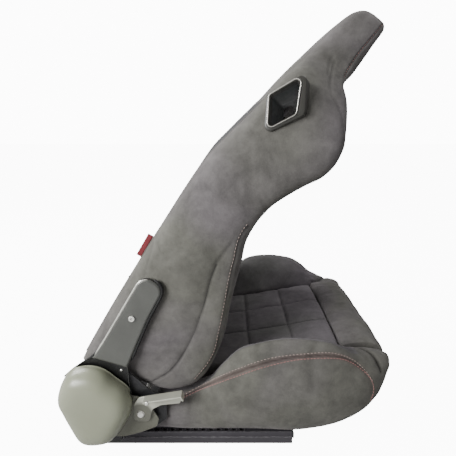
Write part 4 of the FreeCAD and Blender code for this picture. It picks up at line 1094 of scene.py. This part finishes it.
def finish_back():
    cover = make_back_cover()
    bvh = tree_of(cover)
    seams = back_seams(bvh)
    co = coords(cover)
    u, y, w = to_back(co).T
    lines = [line for pair in seams for line in pair]
    held = close_by(distance_to(co, lines), reach=0.004)
    centre = np.array([from_table(CENTRE, rise) for rise in w])
    recess = (np.abs(y) < BACK_HALF + 1.4) & (u < centre - 1) & (w < RECESS_TOP + 1) & (u > -40)
    foot = w < 53
    slot = (np.hypot(u - SLOT_MIDDLE[0], w - SLOT_MIDDLE[1]) < SLOT_ROOM) & (np.abs(y) > 150)
    panel = (np.abs(y) < 200) & (u < -30) & (w < 640)
    held[recess | foot | slot] = 1
    held[panel] = 0.8
    puff(cover, held, cap=0.004, pressure=3.0)
    subdivide(cover)
    bvh = tree_of(cover)
    seams = back_seams(bvh)
    lines = [line for pair in seams for line in pair]
    # Painted shade: seams and, more faintly, folds darken the suede through the seam mask.
    pinch(cover, lines, depth=0.0013, reach=0.0021)
    pinch(cover, back_folds(bvh), depth=0.0010, reach=0.0034, shade=0.22)
    cut_slots(cover)
    smooth(cover)
    cover.data.materials.append(back_cloth)
    cloth = len(cover.data.materials) - 1
    for polygon in cover.data.polygons:
        u, y, w = to_back(np.array([polygon.center]))[0]
        if (abs(y) < panel_edge(w) - 0.5 and polygon.normal.x < -0.3 and 36 < w < 600
                and u < from_table(REAR, w) + 9):
            polygon.material_index = cloth
    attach(cover, "backrest")
    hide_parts("back_wing_right", "back_wing_left", "head_pad", "back_panel")

    bvh = tree_of(cover)
    make_piping(bvh)
    edge_seam, head = seams[1], seams[2]
    rows = [beside(bvh, line, gap, lift=0.0003)
            for line, gap in zip(edge_seam, (-0.0032, 0.0032))]
    sew("edge_stitches", rows, pale_thread, "backrest", pitch=0.0062, length=0.0038)
    # Painted shade: near-black, almost unbroken stitches lay the side seam's dark line on the
    # cover.
    rows = [beside(bvh, line, offset=0, lift=0.0001) for line in seams[0]]
    sew("side_seam_shade_line", rows, seam_shade_thread, "backrest", pitch=0.0041, length=0.0038,
        thickness=0.0007)
    rows = [beside(bvh, line, offset=0, lift=0.0002) for line in head]
    sew("head_stitches", rows, rose_thread, "backrest", thickness=0.0007)


# Quilted pads of the seat and the backrest.

def pillow(at, lines):
    """Share of full height between quilt lines: 0 on a line, 1 midway."""
    at, lines = np.asarray(at, float), np.asarray(lines, float)
    cell = np.clip(np.searchsorted(lines, at) - 1, 0, len(lines) - 2)
    share = np.clip((at - lines[cell]) / (lines[cell + 1] - lines[cell]), 0, 1)
    return (4 * share * (1 - share)) ** 0.45


PAD_CROWN = 5.0
PAD_PLUMP = 4.5
PAD_EDGE = 13.0
SQUARES_ACROSS = [-168, -54, 54, 168]


def quilt_pad(name, stations, half, along_lines, place):
    """A pad of sewn squares: stations hold place along it, underside and top."""
    knots = [row[0] for row in stations]
    steps = np.unique(np.concatenate([knots, np.arange(knots[0], knots[-1], 4.2),
                                      along_lines[1:-1]]))
    rows = []
    for at in steps:
        low, top = (from_table(stations, at, k) for k in (1, 2))
        round_off = min(PAD_EDGE, (top - low) * 0.45)
        side = half - round_off
        across = np.unique(np.concatenate([np.linspace(-side, side, 65), SQUARES_ACROSS[1:-1]]))
        height = top - PAD_CROWN * (across / half) ** 2
        puffed = pillow(across, SQUARES_ACROSS) * pillow(at, along_lines)
        height = height + PAD_PLUMP * (puffed - 0.45)
        ends = height[0]
        arc = np.linspace(0, math.pi / 2, 7)[:-1]
        left = np.column_stack([-side - round_off * np.cos(arc),
                                ends - round_off + round_off * np.sin(arc)])
        over = np.column_stack([across, height])
        right = left[::-1] * (-1, 1)
        wall = straight_run((half, ends - round_off), (half, low), 5)[1:]
        under = straight_run((half, low), (-half, low), 15)[1:]
        back = straight_run((-half, low), (-half, ends - round_off), 5)[1:-1]
        loop = np.concatenate([left, over, right, wall, under, back])
        rows.append([place(at, y, h) for y, h in loop])
    return loft(name, rows, centre_suede)


def quilt_lines(stations, half, along_lines, place):
    """The sewn lines of a pad, drawn just above its top."""
    def spot(at, y):
        return place(at, y, from_table(stations, at, 2) + 4)

    side = np.linspace(8 - half, half - 8, 90)
    run = np.arange(along_lines[0] + 8, along_lines[-1] - 5, 4.0)
    return ([[spot(at, y) for y in side] for at in along_lines[1:-1]]
            + [[spot(at, y) for at in run] for y in SQUARES_ACROSS[1:-1]])


def wrinkle(obj, amount, size, seed, share):
    """Soft uneven rise and fall, as of padding under cloth."""
    co = coords(obj)
    rise = np.array([fractal(Vector(p) / size + Vector((seed, 2 * seed, 0)), 0.7, 2.0, 3)
                     for p in co]) * amount
    set_coords(obj, co + coords(obj, "normal") * (rise * share)[:, None])


SEAT_HALF = 167.6
BACK_HALF = 169.6
SEAT_SQUARES_ALONG = [-64, 9, 96, 183, 272]
SEAT_STATIONS = [(-104, 134, 139), (-101, 129, 143), (-96, 124.5, 146), (-84, 122, 147.5),
                 (-72, 120, 149), (-62.5, 118, 150), (-61.5, 61.2, 150), (-20, 61.2, 152),
                 (30, 61.2, 157), (90, 61.2, 165), (150, 61.2, 175), (210, 61.2, 186),
                 (262, 61.2, 194), (268, 61.2, 193), (270.5, 61.2, 189)]
BACK_SQUARES_ALONG = [17, 88, 175, 262, 349, 436, 523, 606]
BACK_STATIONS = [(20, -9, 34), (23, -9, 40), (32, -9, 44), (60, -9, 48), (110, -9, 52),
                 (170, -9, 54), (240, -9, 53), (310, -9, 47), (380, -9, 39), (440, -9, 33),
                 (490, -9, 30), (540, -9, 30), (575, -9, 33), (600, -9, 38), (603.5, -9, 35)]


def seat_place(at, y, height):
    return (at / 1000, y / 1000, height / 1000)


def back_place(at, y, height):
    return tuple(from_back((height, y, at)))


def make_pad(name, stations, half, along_lines, place, node, body, stitch_name):
    """One quilted pad with its sewn lines."""
    pad = quilt_pad(name, stations, half, along_lines, place)
    drawn = quilt_lines(stations, half, along_lines, place)
    co = coords(pad)
    local = co * 1000 if body == "seat_base" else to_back(co)[:, [2, 1, 0]]
    top = np.array([from_table(stations, at, 2) for at in local[:, 0]])
    held = close_by(distance_to(co, dropped(tree_of(pad), drawn)), reach=0.0045)
    held[(local[:, 2] < top - 16) | (np.abs(local[:, 1]) > half - 2)] = 1
    held[(local[:, 0] < stations[3][0]) | (local[:, 0] > stations[-2][0] - 3)] = 1
    puff(pad, held, cap=0.0035, pressure=4.0)
    wrinkle(pad, amount=0.0016, size=0.045, seed=3, share=1 - held)
    subdivide(pad)
    lines = dropped(tree_of(pad), drawn)
    pinch(pad, lines, depth=0.0015, reach=0.0036, shade=0.55)
    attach(pad, body)
    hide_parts(node)
    rows = dropped(tree_of(pad), lines, lift=0.0002)
    sew(stitch_name, rows, dark_thread, body, thickness=0.0009)


# Cushion bolsters and front roll.

# Each row holds a place along the bolster, its underside, the height of its widest point,
# its ridge, the widest point's and the ridge's distance from the seat's middle, and the
# height of its inner edge.
BOLSTER = [(-78, 50, 92, 118, 238, 215, 110), (-15, 45, 96, 127, 243, 219, 118),
           (20, 45, 105, 152, 248, 227, 131), (45, 45, 116, 187, 253, 233, 149),
           (75, 45, 124, 219, 258, 240, 163), (120, 44, 133, 238.5, 263, 246, 174),
           (175, 41, 138, 244.5, 264, 247, 181), (230, 48, 139, 234, 261, 242, 186),
           (285, 71, 143, 204, 252, 226, 190), (322, 104, 150, 193, 236, 207, 187),
           (341, 138, 162, 190, 219, 198, 184), (350, 158, 171, 186, 207, 191, 178)]
BOLSTER_INNER = 168.0
# How much higher the left bolster stands than the right one, by distance along the seat.
FULLER_LEFT = [(-78, 0), (60, 0), (120, 4.5), (175, 3), (220, 5), (255, 5), (290, 0),
               (320, -2.5), (350, 0), (360, 0)]
PAN_TOP = 61.0
SEAM_UPPER = [(-24, 132), (-2, 146), (23, 160), (67, 182), (134, 206), (186, 213), (228, 216),
              (265, 207), (297, 182), (311, 162)]
SEAM_LOWER = [(-34, 121), (-13, 134), (23, 150), (67, 168), (134, 192), (187, 203), (229, 205),
              (257, 203), (293, 182), (313, 156), (316, 142), (312, 122)]
FRONT_FOLD = [(0.279, -0.171, 0.197), (0.296, -0.177, 0.197), (0.305, -0.187, 0.197),
              (0.312, -0.199, 0.195), (0.323, -0.214, 0.188), (0.332, -0.229, 0.172)]


def bolster_loop(along):
    low, widest, ridge, half, crest, top = (from_table(BOLSTER, along, k) for k in range(1, 7))
    inner = BOLSTER_INNER
    seat = max(PAN_TOP, low)
    foot = min(half - 12, 217)
    rise = ridge - widest
    flank = [(foot, low), (half - (half - foot) * 0.2, low + (widest - low) * 0.42),
             (half, widest), (half - (half - crest) * 0.06, widest + rise * 0.38),
             (crest + (half - crest) * 0.72, widest + rise * 0.7),
             (crest + (half - crest) * 0.42, ridge - rise * 0.08), (crest, ridge),
             (inner + (crest - inner) * 0.5, top + (ridge - top) * 0.62),
             (inner + (crest - inner) * 0.14, top + (ridge - top) * 0.06),
             (inner + 0.5, top - 9), (inner, top - 18)]
    under = straight_run((inner, seat), (min(195, foot - 4), seat), 6)
    step = straight_run(under[-1], (foot, low), 4)[1:-1]
    inside = straight_run((inner, top - 18), (inner, seat), 7)[1:-1]
    return np.concatenate([under, step, even_run(flank, 54), inside])


def make_bolster():
    ends = [(-78, 0.90), (-77.5, 0.95), (-75, 0.985), (-71, 1.0)]
    tip = [(350.6, 0.93), (351.8, 0.8), (352.6, 0.55), (352.9, 0.25)]
    places = ends + [(at, 1.0) for at in np.concatenate([np.arange(-66, 322, 4.8),
                                                         np.arange(324, 350.4, 2.6)])] + tip
    rows = []
    for at, scale in places:
        loop = bolster_loop(min(at, 350))
        hub = (loop.min(0) + loop.max(0)) / 2
        loop = hub + (loop - hub) * scale
        at += max(0, at - 322) * 0.1
        rows.append([(at / 1000, -y / 1000, z / 1000) for y, z in loop])
    return loft("bolster_right", rows, side_suede)


def bolster_rows(bvh):
    """The two stitch rows of the bolster and the seam between them."""
    upper, lower = (seen_on(bvh, dense([(x / 1000, -0.24, z / 1000) for x, z in row], SEAM_STEP))
                    for row in (SEAM_UPPER, SEAM_LOWER))
    upper, lower = eased(upper, 6), eased(lower, 6)
    middle = (evenly(upper, 90) + evenly(lower, 90)) / 2
    return upper, eased(middle, 4), lower


def evenly(line, count):
    """Points at even steps along a polyline, from its first to its last."""
    along = run_length(line)
    at = np.linspace(0, 1, count) * along[-1]
    return np.stack([np.interp(at, along, column) for column in line.T], -1)


def finish_bolsters():
    bolster = make_bolster()
    bvh = tree_of(bolster)
    seam = bolster_rows(bvh)[1]
    co = coords(bolster)
    x, y, z = (co * 1000).T
    held = close_by(distance_to(co, [seam]), reach=0.006)
    held[(y > -172) | (z < 58)] = 1
    held = np.maximum(held, np.clip((10 - x) / 45, 0, 1))
    puff(bolster, held, cap=0.005, pressure=4.0)
    wrinkle(bolster, amount=0.0022, size=0.06, seed=5, share=1 - held)
    subdivide(bolster)
    upper, seam, lower = bolster_rows(tree_of(bolster))
    co = coords(bolster)
    band = close_by(distance_to(co, [seam]), reach=0.0055, power=4)
    fade = np.clip((320 - co[:, 0] * 1000) / 70, 0, 1)
    keep_mask(bolster, "band", band * fade * 0.3)
    pinch(bolster, [seam], depth=0.0016, reach=0.0026)
    fold = dropped(tree_of(bolster), [dense(FRONT_FOLD, SEAM_STEP)])
    # Painted shade: the front fold darkens the suede strongly through the seam mask.
    pinch(bolster, fold, depth=0.0036, reach=0.0042, shade=0.9)
    bolster.data.materials.append(centre_suede)
    for polygon in bolster.data.polygons:
        x, y, z = (value * 1000 for value in polygon.center)
        if -y < from_table(BOLSTER, x, 5) - 3 and z > 70 and x < 288:
            polygon.material_index = 1
    other = shown("bolster_left", bolster.data.copy())
    co = coords(bolster) * (1, -1, 1)
    fuller = np.array([from_table(FULLER_LEFT, x * 1000) for x in co[:, 0]])
    co[:, 2] += fuller / 1000 * np.clip((co[:, 2] - 0.15) / 0.07, 0, 1)
    set_coords(other, co)
    other.data.flip_normals()
    for piece, side in ((bolster, "right"), (other, "left")):
        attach(piece, "seat_base")
        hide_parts("cushion_bolster_" + side)
    upper, lower = dropped(tree_of(bolster), (upper, lower), lift=0.0003)
    sew("bolster_upper_stitches", both_sides([upper]), pale_thread, "seat_base",
        pitch=0.0062, length=0.0038, thickness=0.0012)
    sew("bolster_lower_stitches", both_sides([lower]), rose_thread, "seat_base",
        length=0.005, thickness=0.0013)


ROLL_PROFILE = [(271.2, 61.2), (271.2, 120), (271.2, 182), (273, 192), (280, 197), (297, 200),
                (314, 202), (329, 199.5), (341.5, 193), (350, 183), (353, 173),
                (350.5, 160), (341, 137), (324, 104), (306, 80), (293, 65), (288, 61.2)]


def make_roll():
    knots = np.asarray(ROLL_PROFILE, float)
    loop = np.concatenate([straight_run(knots[0], knots[2], 12)[:-1],
                           even_run(knots[2:], 52)[:-1],
                           straight_run(knots[-1], knots[0], 5)[:-1]])
    hub = np.array([300, 140])
    rows = []
    for share in np.sin(np.linspace(-math.pi / 2, math.pi / 2, 64)):
        y = SEAT_HALF * share
        draw = 1 - 0.04 * (max(0, abs(share) - 0.90) / 0.10) ** 2
        shape = hub + (loop - hub) * draw
        drop = 2 * share ** 2 * np.clip((shape[:, 1] - 61) / 130, 0, 1)
        ahead = np.clip((shape[:, 0] - 290) / 50, 0, 1) * np.clip((shape[:, 1] - 90) / 70, 0, 1)
        shape[:, 0] += (5.2 + 1.4 * (1 - share ** 2)) * ahead
        rows.append([(a / 1000, y / 1000, (b - d) / 1000) for (a, b), d in zip(shape, drop)])
    roll = loft("front_roll", rows, side_suede)
    x, y, z = (coords(roll) * 1000).T
    held = np.clip((np.abs(y) - 140) / 25, 0, 1)
    held[(x < 275) | (z < 90)] = 1
    puff(roll, held, cap=0.004, pressure=3.0)
    wrinkle(roll, amount=0.0018, size=0.05, seed=9, share=1 - held * 0.6)
    subdivide(roll)
    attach(roll, "seat_base")
    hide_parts("cushion_front_roll")


# Recliner covers and rear tag.

COVER_OUTLINE = [(-240, 140), (-234, 164), (-215, 191.5), (-185, 199), (-160, 193), (-139, 176),
                 (-123, 162), (-114, 147), (-112, 130), (-117, 110), (-129, 87), (-141, 69),
                 (-155, 56), (-172, 51.5), (-190, 51), (-202, 55.5), (-211, 66.5), (-223.5, 94.5),
                 (-234, 121)]
COVER_HUB = (-176, 128)
COVER_WALL = 2.4
# How far forward the cover's foot may reach beside the lever.
LEVER_ROOM = -117.0


def closed_curve(points, count):
    """Smooth closed curve through points, resampled to even steps."""
    p = np.asarray(points, float)
    line = []
    for k in range(len(p)):
        a, b, c, d = (p[(k + j) % len(p)] for j in (-1, 0, 1, 2))
        for t in np.arange(0, 1, 0.1):
            line.append(0.5 * (2 * b + (c - a) * t + (2 * a - 5 * b + 4 * c - d) * t * t
                               + (3 * b - a - 3 * c + d) * t ** 3))
    return evenly(np.array(line + line[:1]), count + 1)[:-1]


def make_cover(side, sign):
    """Domed recliner cover with a thin wall, a rolled rim and a soft crown."""
    near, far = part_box("recliner_cover_" + side)
    foot, crown = sorted((abs(near.y) * 1000, abs(far.y) * 1000))
    away = closed_curve(COVER_OUTLINE, 112) - COVER_HUB
    depth = crown - foot

    def ring(scale, height, grow=0.0):
        spot = COVER_HUB + away * scale + unit(away) * grow
        edge = LEVER_ROOM + max(0, height - 5.2) * 2.5 + min(grow, 0)
        spot[:, 0] = np.minimum(spot[:, 0], edge)
        return [(x / 1000, sign * (foot + height) / 1000, z / 1000) for x, z in spot]

    turns = np.linspace(math.pi / 2, 0, 30)[1:]
    rows = [ring(math.cos(t) ** 0.4, depth * math.sin(t) ** 0.91) for t in turns[:-1]]
    rows += [ring(1, 2.6), ring(1, 2.2, 0.7), ring(1, 1.5, 1.0), ring(1, 0.6, 0.9),
             ring(1, 0, 0.4), ring(1, 0, -1.4), ring(1, 0.6, -COVER_WALL)]
    rows += [ring(math.cos(t) ** 0.4, (depth - COVER_WALL) * math.sin(t) ** 0.91, -COVER_WALL)
             for t in turns[-2::-2]]
    cover = loft("recliner_cover_shell_" + side, rows, FINISHES["cover_plastic"])
    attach(cover, "seat_base")
    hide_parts("recliner_cover_" + side)


def rod(name, path, radii, material, squash):
    """A rounded strip along a path in the upright backrest frame, tapered by its radii."""
    path = np.asarray(path, float)
    rows = []
    for spot, ahead, radius in zip(path, unit(np.gradient(path, axis=0)), radii):
        aside = np.array([ahead[2], 0, -ahead[0]])
        rows.append(from_back([spot + aside * radius * math.cos(t)
                               + np.array([0, squash * radius, 0]) * math.sin(t)
                               for t in full_turn(12)]))
    return loft(name, rows, material)


ARM_REAR = [(-42.4, 76), (-41.4, 100), (-41, 118), (-41, 224)]
ARM_FRONT = [(2.6, 224), (5, 180), (10, 140), (16, 96)]
ARM_LIP = [(-42, 80), (-44.9, 69.6), (-50.4, 58), (-56.2, 45.5), (-60.9, 34.7), (-65, 22.7),
           (-68.2, 11.3)]
ARM_TOP = 243.0
ARM_ROUND = 19.0
ARM_GAP = 1.6


def arm_top(front, radius, start, end, count):
    """Points round the arm's top, from one angle to another in half turns."""
    return [(front + radius * math.cos(t), ARM_TOP + 1 - ARM_ROUND + radius * math.sin(t))
            for t in np.linspace(start * math.pi, end * math.pi, count)]


def blunt(share, start, end):
    """Thickness along a strip whose two ends come in roundly."""
    return np.sqrt(np.clip(np.minimum(share / start, (1 - share) / end), 0.05, 1))


def make_arm_edges(side, sign):
    """The arm's rolled rear edge in a bright painted highlight, and near-black painted shade strips
    along its front and along the lip at its foot.
    """
    face = max(abs(corner.y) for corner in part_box("recliner_arm_" + side)) * 1000
    rear = ARM_REAR + arm_top(-41 + ARM_ROUND, ARM_ROUND, 1, 0.62, 9)[1:]
    reach = ARM_ROUND + ARM_GAP
    front = arm_top(2.4 - ARM_ROUND, reach, 0.55, 0, 12) + [(u + ARM_GAP, w) for u, w in ARM_FRONT]
    for name, points, ahead, depth, size, look, squash, slot in (
            ("arm_rolled_edge_highlight_", rear, 0.9, 1.3, lambda share: 1.7 * blunt(share, 0.12, 0.1),
             rolled_edge_highlight, 1.0, "arm_paint"),
            ("arm_edge_shade_strip_", front, 0, 6.0, lambda share: 3.0 * blunt(share, 0.06, 0.06),
             black_shade_strip, 1.3, "bezel_plastic"),
            ("arm_lower_lip_", ARM_LIP, 0, 3.0, lambda share: 1.5 - 0.5 * share,
             black_shade_strip, 1.3, "bezel_plastic")):
        path = [(u + ahead, sign * (face - depth), w) for u, w in dense(points, 3.0)]
        piece = rod(name + side, path, size(np.linspace(0, 1, len(path))), look, squash)
        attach(piece, "backrest")


def make_dome(name, node, body, spot, size):
    """A small domed head standing on the outer face of a right-hand part."""
    place = seen_on(tree_of(nodes[node]), [spot])[0]
    rows = [[(place[0] + size * reach * math.cos(t), place[1] - size * rise,
              place[2] + size * reach * math.sin(t))
             for t in full_turn(24)]
            for reach, rise in ((1, -0.25), (1, 0.2), (0.9, 0.4), (0.65, 0.57), (0.33, 0.66))]
    dome = loft(name, rows, FINISHES["bright_steel"])
    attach(dome, body)


TAG_WELT = -54
TAG_REACH = 14
TAG_FOOT = 251
TAG_HEIGHT = 44
TAG_ACROSS = -199


def make_tag():
    """A folded plain cloth tag in the rear welt."""
    outline = ((-54, -1), (-60, -1), (-64.5, -0.9), (-66.7, -0.55), (-67.2, 0), (-66.7, 0.55),
               (-64.5, 0.9), (-60, 1), (-54, 1), (-60, 0.35), (-65.4, 0), (-60, -0.35))
    rows = []
    for share in np.linspace(0, 1, 25):
        wave = 0.8 * math.sin(share * 4.2)
        rows.append(from_back([(u, TAG_ACROSS + side * 0.95 + wave * (TAG_WELT - u) / TAG_REACH,
                                TAG_FOOT + TAG_HEIGHT * share) for u, side in outline]))
    tag = loft("rear_cloth_tag", rows, tag_cloth)
    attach(tag, "backrest")
    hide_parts("rear_tag")


finish_back()
for side, sign in SIDES:
    make_bezel(side, sign)
    make_cover(side, sign)
    make_arm_edges(side, sign)
make_tag()
make_dome("lever_rivet_head", "recline_lever", "recline_lever", (-0.084, -0.2755, 0.140),
          size=0.0033)
make_dome("arm_foot_pin", "recliner_arm_right", "backrest", (-0.1291, -0.256, 0.1915), size=0.0022)
make_pad("seat_pad", SEAT_STATIONS, SEAT_HALF, SEAT_SQUARES_ALONG, seat_place, "seat_insert",
         "seat_base", "seat_stitches")
make_pad("backrest_pad", BACK_STATIONS, BACK_HALF, BACK_SQUARES_ALONG, back_place,
         "back_centre_pad", "backrest", "backrest_stitches")
finish_bolsters()
make_roll()
